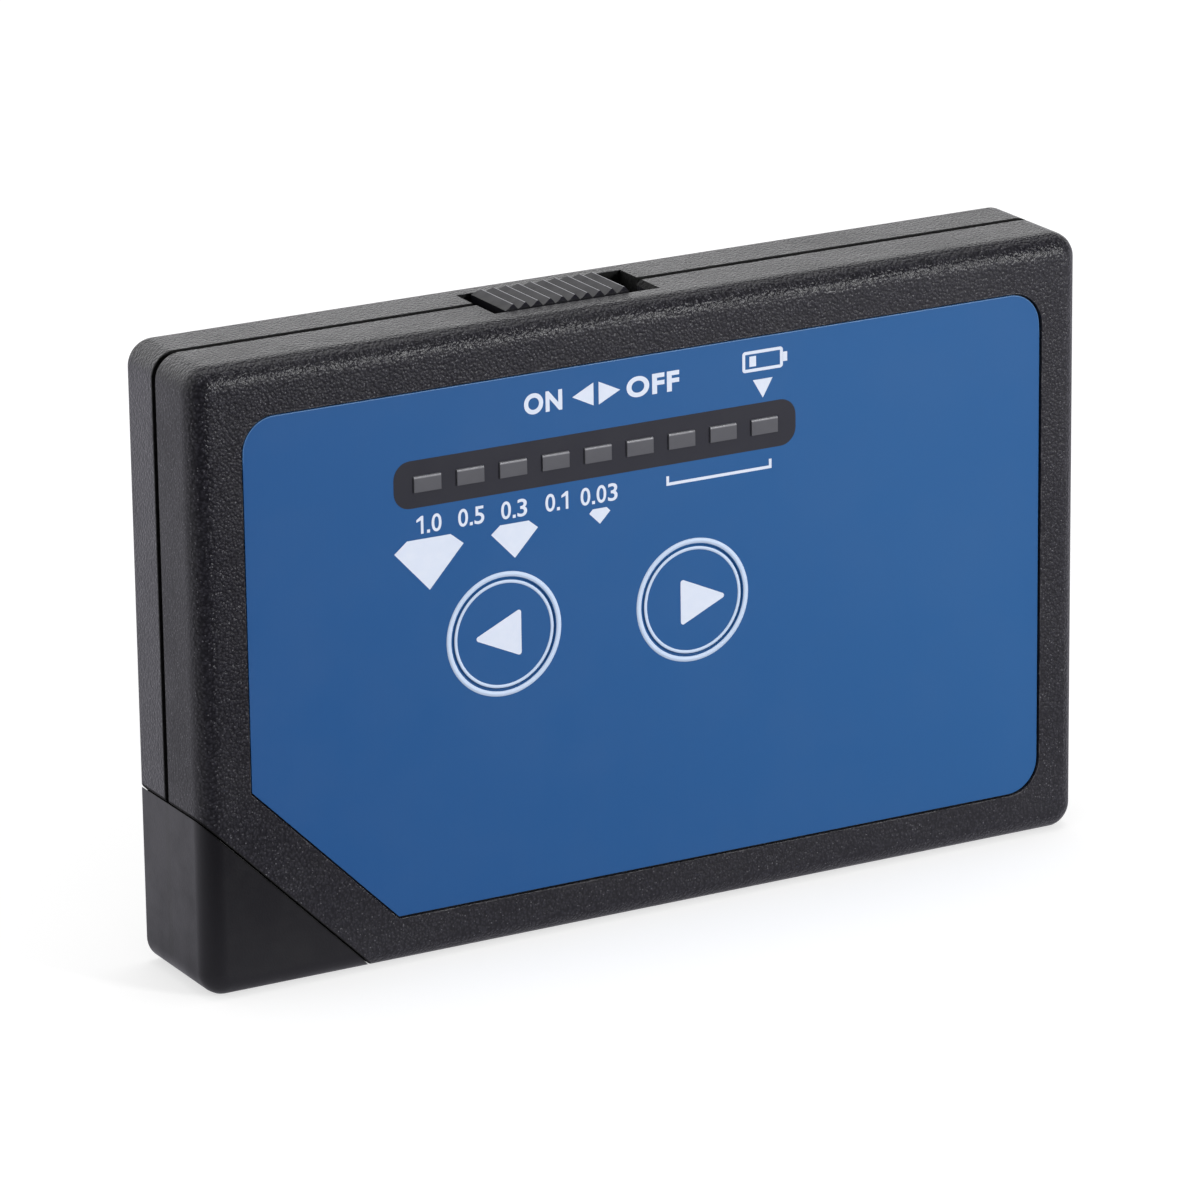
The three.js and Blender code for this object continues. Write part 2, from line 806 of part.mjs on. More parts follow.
// The ribbed knob: leaning ridges across a block, over a flange that rides under the wall.
function powerKnob() {
  const pitch = knobLength / knobRidges;
  const shape = new THREE.Shape();
  shape.moveTo(knobLeft, knobFlangeBottom);
  shape.lineTo(knobLeft + knobLength, knobFlangeBottom);
  shape.lineTo(knobLeft + knobLength, caseHeight);
  for (let i = knobRidges - 1; i >= 0; i -= 1) {
    shape.lineTo(knobLeft + (i + knobCrestShare) * pitch, caseHeight + knobRidgeHeight);
    shape.lineTo(knobLeft + i * pitch, caseHeight);
  }
  shape.closePath();
  const knobFront = slotFront + knobSideGap;
  const knobBack = slotBack - knobBackGap;
  const ribbed = plate(shape, knobFront, knobBack).intersect(knobEnds(knobFront, knobBack));
  const flangeFront = slotFront - knobFlangeSideReach;
  const flange = block(
    knobLeft - knobFlangeReach,
    knobLeft + knobLength + knobFlangeReach,
    flangeFront,
    innerBackY - knobSideGap,
    knobFlangeBottom,
    knobFlangeTop,
  );
  const gap = sliderGap;
  const pocket = block(
    knobMiddle - stubLength / 2 - gap,
    knobMiddle + stubLength / 2 + gap,
    switchY - stubDepth / 2 - gap,
    switchY + stubDepth / 2 + gap,
    knobFlangeBottom - overrun,
    knobFlangeBottom + stubSink + gap,
  );
  return ribbed.add(flange).subtract(pocket);
}

// The slide switch's box, open on top where its slider runs.
function slideSwitch() {
  const middle = knobMiddle + knobTravel / 2;
  const box = block(
    middle - switchLength / 2,
    middle + switchLength / 2,
    switchY - switchDepth / 2,
    boardY - boardSeat,
    switchBottom,
    switchTop,
  );
  const halfRun = sliderLength / 2 + knobTravel / 2 + sliderGap;
  const run = block(
    middle - halfRun,
    middle + halfRun,
    switchY - switchDepth / 2 + switchShell,
    switchY + switchDepth / 2 - switchShell,
    switchBottom + switchShell,
    switchTop + overrun,
  );
  return box.subtract(run);
}

function switchSlider() {
  const halfDepth = switchDepth / 2 - switchShell - sliderGap;
  const bottom = switchBottom + switchShell + sliderGap;
  const shoe = block(
    knobMiddle - sliderLength / 2,
    knobMiddle + sliderLength / 2,
    switchY - halfDepth,
    switchY + halfDepth,
    bottom,
    bottom + sliderHeight,
  );
  const stub = block(
    knobMiddle - stubLength / 2,
    knobMiddle + stubLength / 2,
    switchY - stubDepth / 2,
    switchY + stubDepth / 2,
    bottom,
    knobFlangeBottom + stubSink,
  );
  return shoe.add(stub);
}

// The square notch that takes a screw boss out of the board's nearest corner.
function boardNotch(x, z) {
  const side = bossBackRadius + lipNotchGap;
  const [x0, x1] = x > 0 ? [x - side, halfWidth] : [-halfWidth, x + side];
  const [z0, z1] = z > caseHeight / 2 ? [z - side, caseHeight] : [0, z + side];
  return block(x0, x1, frontY, backY, z0, z1);
}

// The board: its corner is cut off to clear the probe, and it has holes for the posts' pins.
function circuitBoard() {
  const leg = capLeg + boardProbeGap * diagonal;
  const shape = new THREE.Shape();
  shape.moveTo(-halfWidth + leg - boardBottomZ, boardBottomZ);
  shape.lineTo(boardSide, boardBottomZ);
  shape.lineTo(boardSide, boardTop);
  shape.lineTo(-boardSide, boardTop);
  shape.lineTo(-boardSide, leg - (halfWidth - boardSide));
  shape.closePath();
  const tools = screwPlaces.map(([x, z]) => boardNotch(x, z));
  for (const x of postX) {
    for (const z of postZ) {
      tools.push(disc(postPinRadius + postPinGap, x, z, frontY, backY, smallSides));
    }
  }
  return cut(plate(shape, boardY, boardBack), tools);
}

// A flat chip with a row of legs along both long sides, on the back of the board.
function flatChip(x, z, length, width) {
  const start = boardBack + boardSeat;
  const legs = Math.round((length - chipLegPitch) / chipLegPitch);
  const solids = [slab(x, z, length, width, start, start + chipHeight)];
  for (let i = 0; i < legs; i += 1) {
    const px = x + (i - (legs - 1) / 2) * chipLegPitch;
    solids.push(slab(px, z, chipLegWidth, width + 2 * chipLegReach, start, start + chipLegWidth));
  }
  return join(solids);
}

function buzzer() {
  const start = boardBack + boardSeat;
  const buzzerZ = keyZ + buzzerRise;
  const body = disc(buzzerRadius, buzzerX, buzzerZ, start, start + buzzerHeight);
  const top = start + buzzerHeight;
  const portEnd = top - buzzerPortDepth;
  return body.subtract(disc(buzzerPort, buzzerX, buzzerZ, portEnd, top + overrun, smallSides));
}

// A can capacitor lying on the front of the board, with its crimped groove near one end.
function capacitor() {
  const half = capacitorLength / 2;
  const grooveTop = half - capacitorGrooveInset;
  const profile = [
    [0, -half],
    [capacitorRadius, -half],
    [capacitorRadius, grooveTop - capacitorGrooveWidth],
    [capacitorRadius - capacitorGroove, grooveTop - capacitorGrooveWidth / 2],
    [capacitorRadius, grooveTop],
    [capacitorRadius, half],
    [0, half],
  ];
  const geometry = turned(profile, smallSides);
  geometry.rotateZ(Math.PI / 2);
  geometry.translate(capacitorX, boardY - boardSeat - capacitorRadius, capacitorZ);
  return solidFrom(geometry);
}

function battery() {
  const nubEnd = batteryLeft + batteryNubLength;
  return join([
    rodAlongX(batteryRadius, nubEnd, batteryRight, batteryY, batteryZ),
    rodAlongX(batteryNubRadius, batteryLeft, nubEnd + overrun, batteryY, batteryZ, smallSides),
  ]);
}

function plateContact() {
  const half = contactSide / 2;
  const x1 = bayLeft + contactThickness;
  return block(bayLeft, x1, batteryY - half, batteryY + half, batteryZ - half, batteryZ + half);
}

// A coil of round wire about an axis, as one tube: radius at a share of the way from 0 to 1.
function coil(turns, wire, radiusAt, from, to) {
  class Helix extends THREE.Curve {
    getPoint(share, target = new THREE.Vector3()) {
      const angle = 2 * Math.PI * turns * share;
      const radius = radiusAt(share);
      const height = from + (to - from) * share;
      return target.set(radius * Math.cos(angle), height, radius * Math.sin(angle));
    }
  }
  const section = new THREE.Shape();
  section.absarc(0, 0, wire / 2, 0, 2 * Math.PI);
  return new THREE.ExtrudeGeometry(section, {
    extrudePath: new Helix(),
    steps: turns * coilSteps,
    curveSegments: coilSides,
    bevelEnabled: false,
  });
}

// The spring contact: a conical coil standing on its plate.
function springContact() {
  const half = contactSide / 2;
  const x0 = bayRight - contactThickness;
  const base = block(x0, bayRight, batteryY - half, batteryY + half, batteryZ - half, batteryZ + half);
  const taper = (share) => contactSpringHead + (contactSpringTail - contactSpringHead) * share;
  const start = batteryRight + contactGap + contactSpringWire / 2;
  const end = x0 + (contactThickness - contactSpringWire) / 2;
  const geometry = coil(contactSpringTurns, contactSpringWire, taper, start, end);
  geometry.rotateZ(-Math.PI / 2);
  geometry.translate(0, batteryY, batteryZ);
  return base.add(solidFrom(geometry));
}

// A pan-head screw with a cross recess, driven in from the back.
function caseScrew(x, z) {
  const seat = -(backY - screwHeadSink);
  const end = seat + screwLength;
  const head = seat - screwHeadHeight;
  const profile = [
    [0, head],
    [screwHeadRadius * screwCrownShare, head],
    [screwHeadRadius * screwShoulderShare, head + screwHeadHeight * screwCrownDropShare],
    [screwHeadRadius, head + screwHeadHeight * screwRimDropShare],
    [screwHeadRadius, seat],
    [screwShankRadius, seat],
    [screwShankRadius, end - screwPoint],
    [0, end],
  ];
  const geometry = turned(profile, smallSides);
  geometry.rotateX(Math.PI);
  geometry.translate(x, 0, z);
  const top = -head;
  const recess = [
    slab(x, z, screwCrossSpan, screwCross, top - screwCrossDepth, top + overrun),
    slab(x, z, screwCross, screwCrossSpan, top - screwCrossDepth, top + overrun),
  ];
  return cut(solidFrom(geometry), recess);
}

// The collar that carries the probe: a flange inside the case and a tapered nose outside.
function probeCollar() {
  const flangeTop = -endWall - collarGap;
  const bore = sleeveRadius + sleeveGap;
  return solidFrom(
    turned(
      [
        [bore, flangeTop - collarFlangeThickness],
        [collarFlangeRadius, flangeTop - collarFlangeThickness],
        [collarFlangeRadius, flangeTop],
        [collarRadius, flangeTop],
        [collarRadius, spigotLength + collarGap],
        [collarRadius * collarNoseShare, collarNose],
        [bore, collarNose],
        [bore, flangeTop - collarFlangeThickness],
      ],
      roundSides,
    ),
  );
}

// The steel sleeve: closed behind the spring, with a lip in front that stops the tip's shoulder.
function probeSleeve() {
  return solidFrom(
    turned(
      [
        [0, -sleeveTail],
        [sleeveRadius, -sleeveTail],
        [sleeveRadius, sleeveEnd],
        [sleeveMouth, sleeveEnd],
        [sleeveMouth, sleeveEnd - sleeveLip],
        [sleeveBore, sleeveEnd - sleeveLip],
        [sleeveBore, -sleeveStop],
        [0, -sleeveStop],
      ],
      roundSides,
    ),
  );
}

// The copper tip: a blunt point, a shoulder inside the sleeve and a tail that guides the spring.
function probeTip() {
  const shoulderTop = sleeveEnd - sleeveLip - tipSeat;
  const shoulderBottom = shoulderTop - tipShoulder;
  const tailEnd = -sleeveStop + tipTravel + tipSeat;
  return solidFrom(
    turned(
      [
        [0, tailEnd],
        [sleeveRadius * tipTailShare, tailEnd],
        [sleeveRadius * tipTailShare, shoulderBottom],
        [tipShoulderRadius, shoulderBottom],
        [tipShoulderRadius, shoulderTop],
        [tipRadius, shoulderTop],
        [tipRadius, tipEnd - tipRadius],
        [tipRadius * tipBluntShare, tipEnd - tipRadius * tipBluntDropShare],
        [0, tipEnd],
      ],
      smallSides,
    ),
  );
}

function probeSpring() {
  const shoulderBottom = sleeveEnd - sleeveLip - tipSeat - tipShoulder;
  const from = -sleeveStop + springWire;
  const to = shoulderBottom - springWire;
  return solidFrom(coil(springTurns, springWire, () => sleeveRadius * springShare, from, to));
}

const tester = new THREE.Group();
const add = (name, solid, material) => tester.add(meshFrom(name, solid, material));

add("front_shell", frontShell(), finish.shell);
add("back_shell", backShell(), finish.shell);
add("corner_cap", cornerCap(), finish.cap);
add("film_overlay", filmOverlay(), finish.film);
for (let i = 0; i < ledCount; i += 1) {
  add("bar_led_" + (i + 1), barLed(ledX(i)), finish.led);
}
["left", "right"].forEach((side, i) => {
  add("key_" + side, roundKey(keyX[i]), finish.film);
  add("tact_plunger_" + side, tactPlunger(keyX[i]), finish.chip);
  add("tact_switch_" + side, tactSwitch(keyX[i]), finish.chip);
});
add("power_knob", powerKnob(), finish.knob);
add("switch_slider", switchSlider(), finish.chip);
add("slide_switch", slideSwitch(), finish.steel);
add("circuit_board", circuitBoard(), finish.board);
const driverChipZ = ledRowZ - driverChipDrop;
add("driver_chip", flatChip(driverChipX, driverChipZ, driverChipLength, driverChipWidth), finish.chip);
add("amplifier_chip", flatChip(ampChipX, keyZ + ampChipRise, ampChipLength, ampChipWidth), finish.chip);
add("buzzer", buzzer(), finish.ceramic);
add("capacitor", capacitor(), finish.chip);
add("battery", battery(), finish.battery);
add("battery_plate_contact", plateContact(), finish.steel);
add("battery_spring_contact", springContact(), finish.steel);
add("battery_cover", batteryCover(), finish.shell);
screwPlaces.forEach(([x, z], i) => add("case_screw_" + (i + 1), caseScrew(x, z), finish.steel));

const probe = new THREE.Group();
probe.applyMatrix4(probeMatrix());
probe.add(meshFrom("probe_collar", probeCollar(), finish.cap));
probe.add(meshFrom("probe_sleeve", probeSleeve(), finish.steel));
probe.add(meshFrom("probe_tip", probeTip(), finish.copper));
probe.add(meshFrom("probe_spring", probeSpring(), finish.steel));
tester.add(probe);

export default tester;
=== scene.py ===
"""A pocket diamond tester: grained two-part case, printed blue film, bar lights, round keys, power slide
and a heated copper probe under its corner cap. Metres; X is the width, the front faces -Y, Z is up."""

import json
import math

import bmesh
import bpy
from mathutils import Matrix, Vector


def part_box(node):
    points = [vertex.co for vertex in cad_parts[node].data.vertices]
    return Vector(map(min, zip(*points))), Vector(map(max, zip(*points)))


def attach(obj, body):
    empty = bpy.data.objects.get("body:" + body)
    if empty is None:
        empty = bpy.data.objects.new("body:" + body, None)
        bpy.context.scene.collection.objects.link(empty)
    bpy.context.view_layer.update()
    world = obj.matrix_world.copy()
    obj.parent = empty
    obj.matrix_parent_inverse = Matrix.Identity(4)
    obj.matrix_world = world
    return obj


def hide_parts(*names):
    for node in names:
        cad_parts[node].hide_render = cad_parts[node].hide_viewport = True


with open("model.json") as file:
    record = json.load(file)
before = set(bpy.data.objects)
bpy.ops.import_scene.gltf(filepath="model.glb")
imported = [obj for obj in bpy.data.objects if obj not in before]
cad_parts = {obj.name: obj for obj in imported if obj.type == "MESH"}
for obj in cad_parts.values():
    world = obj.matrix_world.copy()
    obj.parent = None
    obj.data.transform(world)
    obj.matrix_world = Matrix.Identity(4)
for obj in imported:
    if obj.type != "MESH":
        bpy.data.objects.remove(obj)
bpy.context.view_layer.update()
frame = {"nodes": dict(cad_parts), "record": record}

MM = 0.001

# Outer form of the case, as in the solids, how near a point counts as on it, and the bands and reach of the
# painted shade by the seams and in the recesses
CORNER_RADIUS = 2.4 * MM
FRONT_FILLET = 2.1 * MM
BACK_FILLET = 0.6 * MM
SEAM_MIDDLE = 0.9 * MM
SEAM_GROOVE = 0.6 * MM
CAP_LEG = 17.15 * MM
CAP_SEAM = 0.12 * MM
SEAM_SHADE_BAND = 0.12 * MM
CAP_SHADE_BAND = 0.1 * MM
SKIN_ROOM = 0.04 * MM
RECESS_REACH = 0.9 * MM
RECESS_SHADE = 0.35
PLANE_ROOM = SKIN_ROOM / 4
WELD = 0.002 * MM
FLAT_ANGLE = math.radians(0.6)
HARD_ANGLE = math.radians(30)
SHARP_ANGLE = HARD_ANGLE * 1.1

# Rounding of hard outer edges, and those of them that are never painted lighter as wear or highlight
CASE_EDGE = 0.12 * MM
SEAM_EDGE = 0.14 * MM
CAP_SEAM_EDGE = 0.03 * MM
CAP_EDGE = 0.16 * MM
FILM_EDGE = 0.09 * MM
OPENING_EDGE = 0.02 * MM
KNOB_EDGE = 0.1 * MM
KEY_EDGE = 0.04 * MM
LAMP_EDGE = 0.22 * MM
SCREW_EDGE = 0.09 * MM
BATTERY_EDGE = 0.35 * MM
CONTACT_EDGE = 0.08 * MM
COLLAR_EDGE = 0.12 * MM
PROBE_EDGE = 0.1 * MM
PLAIN_EDGES = (SEAM_EDGE, CAP_SEAM_EDGE, OPENING_EDGE, KEY_EDGE)
EDGE_STEPS = 2

# What is there more than once
LAMP_COUNT = 9
SCREW_COUNT = 4

# Printing on the film and the keys. Scale marks have their middle in millimetres, and gems their middle,
# width, height, table and crown.
INK = 0.016 * MM
INK_SINK = 0.004 * MM
INK_WELD = WELD / 4
STRIP_SIZE = (41.8 * MM, 4.46 * MM)
STRIP_RADIUS = 1.65 * MM
LENS_SIZE = (2.75 * MM, 1.5 * MM)
WINDOW_ROOM = 0.035 * MM
LABEL_HEIGHT = 1.97 * MM
LABEL_WEIGHT = 0.075 * MM
LABEL_SPACING = 1.12
LABEL_Z = 51.1 * MM
ON_SPAN = (-13.06 * MM, -9.13 * MM)
OFF_SPAN = (-2.46 * MM, 3.04 * MM)
ARROW_HALF = 1.08 * MM
ON_ARROW = (-5.9 * MM, -8.1 * MM)
OFF_ARROW = (-5.36 * MM, -3.13 * MM)
BATTERY_ARROW_X = 11.86 * MM
BATTERY_ARROW_HALF = 1.04 * MM
BATTERY_ARROW_SPAN = (49.9 * MM, 48.1 * MM)
BATTERY_SIGN_SIZE = (4.3 * MM, 2 * MM)
BATTERY_SIGN_Z = 51.7 * MM
BATTERY_SIGN_LINE = 0.3 * MM
BATTERY_SIGN_NUB = (0.45 * MM, 0.9 * MM)
BATTERY_BAR_SIZE = (0.7 * MM, 0.98 * MM)
BATTERY_BAR_INSET = 1.1 * MM
SCALE_HEIGHT = 1.68 * MM
SCALE_Z = 41.53 * MM
SCALE_MARKS = (("1.0", -22.95), ("0.5", -18.65), ("0.3", -14.25), ("0.1", -9.75), ("0.03", -5.45))
DIGIT_WIDTH = 1.0 * MM
DIGIT_GAP = 0.18 * MM
DIGIT_WEIGHT = 0.022 * MM
ONE_WIDTH = 0.7 * MM
ONE_STEM = 0.26 * MM
POINT_SIDE = 0.3 * MM
GEM_TOP = 40.2 * MM
GEMS = ((-23.0, 7.05, 4.9, 4.45, 1.05), (-14.24, 4.82, 3.3, 2.95, 0.77), (-5.4, 2.19, 1.48, 1.44, 0.38))
BRACKET_SPAN = (1.6 * MM, 12.75 * MM)
BRACKET_Z = 41.5 * MM
BRACKET_LINE = 0.28 * MM
BRACKET_RISE = 0.9 * MM
WIDE_RING = (5.43 * MM, 5.92 * MM)
FINE_RING = (4.82 * MM, 5.12 * MM)
WEB_RING = (5.255 * MM, 5.36 * MM)
WEB_SINK = 0.16 * MM
WEB_THICKNESS = 0.12 * MM
KEY_ARROW_HALF = 2.28 * MM
KEY_ARROW_SPANS = {"left": (1.78 * MM, -3.19 * MM), "right": (-1.25 * MM, 3.69 * MM)}
KEY_ARROW_DROP = 0.08 * MM
KEY_ARROW_ROUND = 0.25 * MM
RING_SIDES = 128
CORNER_STEPS = 8

# Coil of round wire at the battery. Its path is shorter than the contact by COIL_ENDS radii of the wire.
COIL_TURNS = 4.0
COIL_HEAD = 1.9 * MM
COIL_TAIL = 2.9 * MM
COIL_ENDS = 1.8
COIL_STEPS = 40
WIRE_RADIUS = 0.28 * MM
WIRE_SIDES = 12

# Studio paper: its size and shades, and how bright it shows in reflections. In front of the tester that
# changes along X, behind it along Y, and one gives way to the other over a short stretch of Y.
WHITE = (1, 1, 1, 1)
FLOOR_HALF = 3.0
FLOOR_SINK = 0.02 * MM
FLOOR_COLOUR = (0.6, 0.6, 0.62, 1)
FLOOR_GLOW = 0.62
FLOOR_SEEN = (0.5, 0.5, 0.5, 1)
FLOOR_SHINE = (0.98, 0.96, 1.06, 1)
FLOOR_SIDES = (0.0, 0.13)
FLOOR_FRONT = (0.04, 0.6)
FLOOR_DEPTH = (0.0, 0.16)
FLOOR_BACK = (0.66, 0.92)
FLOOR_TURN = (-0.05, 0.02)

# Room: how bright it shows in reflections, from overhead to the back, and its own light
ROOM_TURN = (0.06, 1.0)
ROOM_GLOSS = (0.0, 1.64)
ROOM_LIGHT = 0.62
SOFTBOXES = (
    {"name": "softbox_front", "place": (0.5, -0.83, 0.3), "size": (0.17, 0.36), "power": 5.2},
    {"name": "softbox_top", "place": (0.1, 0.1, 0.95), "size": (0.5, 0.5), "power": 1.8},
    {"name": "softbox_left", "place": (-0.8, 0.1, 0.45), "size": (0.5, 0.5), "power": 0.9},
)

# Camera, solved from the photograph's edges
CAMERA_PLACE = (-301.9 * MM, -544.5 * MM, 226.8 * MM)
CAMERA_YAW = 0.5034877
CAMERA_PITCH = 0.3078966
CAMERA_ROLL = 0.0128320
CAMERA_LENS = 211.37
CAMERA_FILM = 36
CAMERA_REACH = (0.01, 20)

half_width = max(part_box("front_shell")[1].x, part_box("back_shell")[1].x)
case_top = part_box("front_shell")[1].z
front_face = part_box("front_shell")[0].y
back_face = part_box("back_shell")[1].y
film_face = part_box("film_overlay")[0].y
seam_planes = (SEAM_MIDDLE - SEAM_GROOVE / 2, SEAM_MIDDLE + SEAM_GROOVE / 2)
film_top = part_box("film_overlay")[1].z
ink_middle = film_face - INK / 2 + INK_SINK
knob_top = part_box("power_knob")[1].z
screw_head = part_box("case_screw_1")[1].y
lamps = [f"bar_led_{i + 1}" for i in range(LAMP_COUNT)]
screws = [f"case_screw_{i + 1}" for i in range(SCREW_COUNT)]


def middle_of(node):
    low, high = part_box(node)
    return (low + high) / 2


lamp_row = middle_of(lamps[LAMP_COUNT // 2])
lamp_top = lamp_row.z + LENS_SIZE[1] / 2


def tone(red, green, blue):
    """A colour as it looks on a screen, from 0 to 255, as Blender's own values."""

    def level(value):
        share = value / 255
        return share / 12.92 if share <= 0.04045 else ((share + 0.055) / 1.055) ** 2.4

    return (level(red), level(green), level(blue), 1.0)


# Shader building

def add(tree, kind, inputs=(), **settings):
    """A node in a tree. Each input takes a value or another node's output."""
    made = tree.nodes.new(kind)
    for name, value in settings.items():
        setattr(made, name, value)
    for key, value in dict(inputs).items():
        if isinstance(value, bpy.types.NodeSocket):
            tree.links.new(value, made.inputs[key])
        else:
            made.inputs[key].default_value = value
    return made


def sums(tree, operation, first, second=0.0, held=False):
    return add(tree, "ShaderNodeMath", {0: first, 1: second}, operation=operation, use_clamp=held).outputs[0]


def spread(tree, value, low, high, to_low=0.0, to_high=1.0):
    """A value stretched from one range to another and held inside it."""
    inputs = {0: value, 1: low, 2: high, 3: to_low, 4: to_high}
    return add(tree, "ShaderNodeMapRange", inputs, clamp=True).outputs[0]


def blend_tones(tree, share, first, second):
    return add(tree, "ShaderNodeMix", {0: share, 6: first, 7: second}, data_type="RGBA").outputs[2]


def finish_group(name, inputs, outputs):
    """An empty shader node group with its named inputs and outputs."""
    tree = bpy.data.node_groups.new(name, "ShaderNodeTree")
    for label, value in inputs:
        socket = tree.interface.new_socket(label, in_out="INPUT", socket_type="NodeSocketFloat")
        socket.default_value = value
    for label in outputs:
        tree.interface.new_socket(label, in_out="OUTPUT", socket_type="NodeSocketFloat")
    return tree, tree.nodes.new("NodeGroupInput").outputs, tree.nodes.new("NodeGroupOutput")


def on_piece(tree):
    return add(tree, "ShaderNodeTexCoord").outputs["Object"]


def along(tree, direction):
    """How far a place on the piece lies along a direction."""
    inputs = {0: on_piece(tree), 1: direction}
    return add(tree, "ShaderNodeVectorMath", inputs, operation="DOT_PRODUCT").outputs["Value"]


def axes_of(tree, vector):
    return add(tree, "ShaderNodeSeparateXYZ", {0: vector}).outputs


def place_on_piece(tree, size):
    """Object coordinates counted in steps of one size."""
    inputs = {0: on_piece(tree), 3: sums(tree, "DIVIDE", 1.0, size)}
    return add(tree, "ShaderNodeVectorMath", inputs, operation="SCALE").outputs[0]


def noise(tree, where, detail=2.0, roughness=0.5, scale=1.0):
    inputs = {"Vector": where, "Scale": scale, "Detail": detail, "Roughness": roughness}
    return add(tree, "ShaderNodeTexNoise", inputs).outputs["Fac"]


def make_mould_grain():
    """Spark-eroded grain: rounded pebbles over a finer roughness, and painted glints on the few that would
    catch the light.
    """
    inputs = [("Pebble Size", 0.0003), ("Fine Share", 0.35)]
    tree, given, out = finish_group("mould_grain", inputs, ["Height", "Glint"])
    where = place_on_piece(tree, given["Pebble Size"])
    pebbles = add(tree, "ShaderNodeTexVoronoi", {"Vector": where, "Scale": 1.0, "Smoothness": 0.6},
                  feature="SMOOTH_F1").outputs["Distance"]
    bumps = noise(tree, where, detail=3.0, roughness=0.6, scale=1.3)
    hills = sums(tree, "SUBTRACT", 1.0, pebbles)
    fine = sums(tree, "MULTIPLY", bumps, given["Fine Share"])
    tree.links.new(sums(tree, "ADD", hills, fine), out.inputs["Height"])
    cells = add(tree, "ShaderNodeTexVoronoi", {"Vector": where, "Scale": 1.1}, feature="F1")
    chance = add(tree, "ShaderNodeSeparateColor", {0: cells.outputs["Color"]}).outputs[0]
    lucky = spread(tree, chance, 0.7, 1.0)
    near = spread(tree, cells.outputs["Distance"], 0.35, 0.1)
    tree.links.new(sums(tree, "MULTIPLY", lucky, near), out.inputs["Glint"])
    return tree


def make_handling():
    """Soft patches from handling, and slow changes of shade over a moulding."""
    tree, given, out = finish_group("handling", [("Patch Size", 0.012)], ["Shade", "Rub"])
    where = place_on_piece(tree, given["Patch Size"])
    tree.links.new(noise(tree, where, detail=3.0), out.inputs["Shade"])
    rub = noise(tree, where, detail=5.0, roughness=0.65, scale=2.3)
    tree.links.new(spread(tree, rub, 0.42, 0.7), out.inputs["Rub"])
    return tree


def make_edge_wear_and_highlight():
    """Where rounded edges are painted lighter, in broken runs: rubbed wear on some pieces, a painted
    highlight on others.
    """
    tree, given, out = finish_group("edge_wear_and_highlight", [("Run Length", 0.0015), ("Cover", 0.6)], ["Mask"])
    edge = add(tree, "ShaderNodeAttribute", attribute_name="edge").outputs["Fac"]
    runs = noise(tree, place_on_piece(tree, given["Run Length"]), detail=4.0, roughness=0.6)
    low = sums(tree, "SUBTRACT", 0.75, sums(tree, "MULTIPLY", given["Cover"], 0.5))
    worn_or_lit = spread(tree, runs, low, sums(tree, "ADD", low, 0.25))
    tree.links.new(sums(tree, "MULTIPLY", edge, worn_or_lit), out.inputs["Mask"])
    return tree


def near_plane(tree, direction, distance, half, soft):
    """1 near a plane across a direction, at a distance along it, and 0 away from the plane."""
    away = sums(tree, "ABSOLUTE", sums(tree, "SUBTRACT", along(tree, direction), distance))
    return spread(tree, away, half, half + soft, 1.0, 0.0)


def make_painted_gap_shade():
    """Painted shade in the case seam and the cap seam and on both sides of them, and in the recesses."""
    tree, given, out = finish_group("painted_gap_shade", [("Grain", 0.0006)], ["Mask"])
    gap_shade = add(tree, "ShaderNodeAttribute", attribute_name="gap_shade").outputs["Fac"]
    seam = near_plane(tree, (0, 1, 0), SEAM_MIDDLE, SEAM_GROOVE / 2 + SEAM_SHADE_BAND, SEAM_SHADE_BAND / 2)
    slope = math.sqrt(0.5)
    cap_plane = (CAP_LEG - half_width) * slope - CAP_SEAM / 2
    cap = near_plane(tree, (slope, 0, slope), cap_plane, CAP_SEAM / 2 + CAP_SHADE_BAND, CAP_SHADE_BAND / 2)
    painted_shade = sums(tree, "MAXIMUM", gap_shade, sums(tree, "MAXIMUM", seam, cap))
    patches = noise(tree, place_on_piece(tree, given["Grain"]), detail=3.0)
    held = spread(tree, patches, 0.3, 0.6, 0.8, 1.0)
    tree.links.new(sums(tree, "MULTIPLY", painted_shade, held), out.inputs["Mask"])
    return tree


def make_wall_finish():
    """Depth of the grain on each wall of the mould, and the duller side walls of the front half."""
    inputs = [("Front", 0.5), ("Side", 0.6), ("Top", 2.8)]
    tree, given, out = finish_group("wall_finish", inputs, ["Depth", "Dull"])
    normal = add(tree, "ShaderNodeTexCoord").outputs["Normal"]
    x, y, z = axes_of(tree, add(tree, "ShaderNodeVectorMath", {0: normal}, operation="ABSOLUTE").outputs[0])
    depth = spread(tree, y, 0.965, 0.995, 1.0, given["Front"])
    depth = sums(tree, "MULTIPLY", depth, spread(tree, x, 0.9, 0.99, 1.0, given["Side"]))
    depth = sums(tree, "MULTIPLY", depth, spread(tree, z, 0.9, 0.99, 1.0, given["Top"]))
    tree.links.new(depth, out.inputs["Depth"])
    in_front = sums(tree, "LESS_THAN", axes_of(tree, on_piece(tree))[1], SEAM_MIDDLE)
    dull = sums(tree, "MULTIPLY", in_front, spread(tree, x, 0.6, 0.95))
    tree.links.new(dull, out.inputs["Dull"])
    return tree


def make_painted_light_slope():
    """Painted light over the whole front: a share that grows from the lower left to the upper right."""
    tree, given, out = finish_group("painted_light_slope", [("Start", -0.04), ("End", 0.05)], ["Share"])
    share = spread(tree, along(tree, (1.0, 0.0, 0.6)), given["Start"], given["End"])
    tree.links.new(share, out.inputs["Share"])
    return tree


def make_crest_shade():
    """1 on the crests of the knob's ridges and 0 in the valleys: the share of painted light on the ridges
    against painted shade in the valleys.
    """
    tree, given, out = finish_group("crest_shade", [("Depth", 0.00048)], ["Share"])
    low = sums(tree, "SUBTRACT", knob_top, given["Depth"])
    share = spread(tree, axes_of(tree, on_piece(tree))[2], low, knob_top)
    tree.links.new(share, out.inputs["Share"])
    return tree


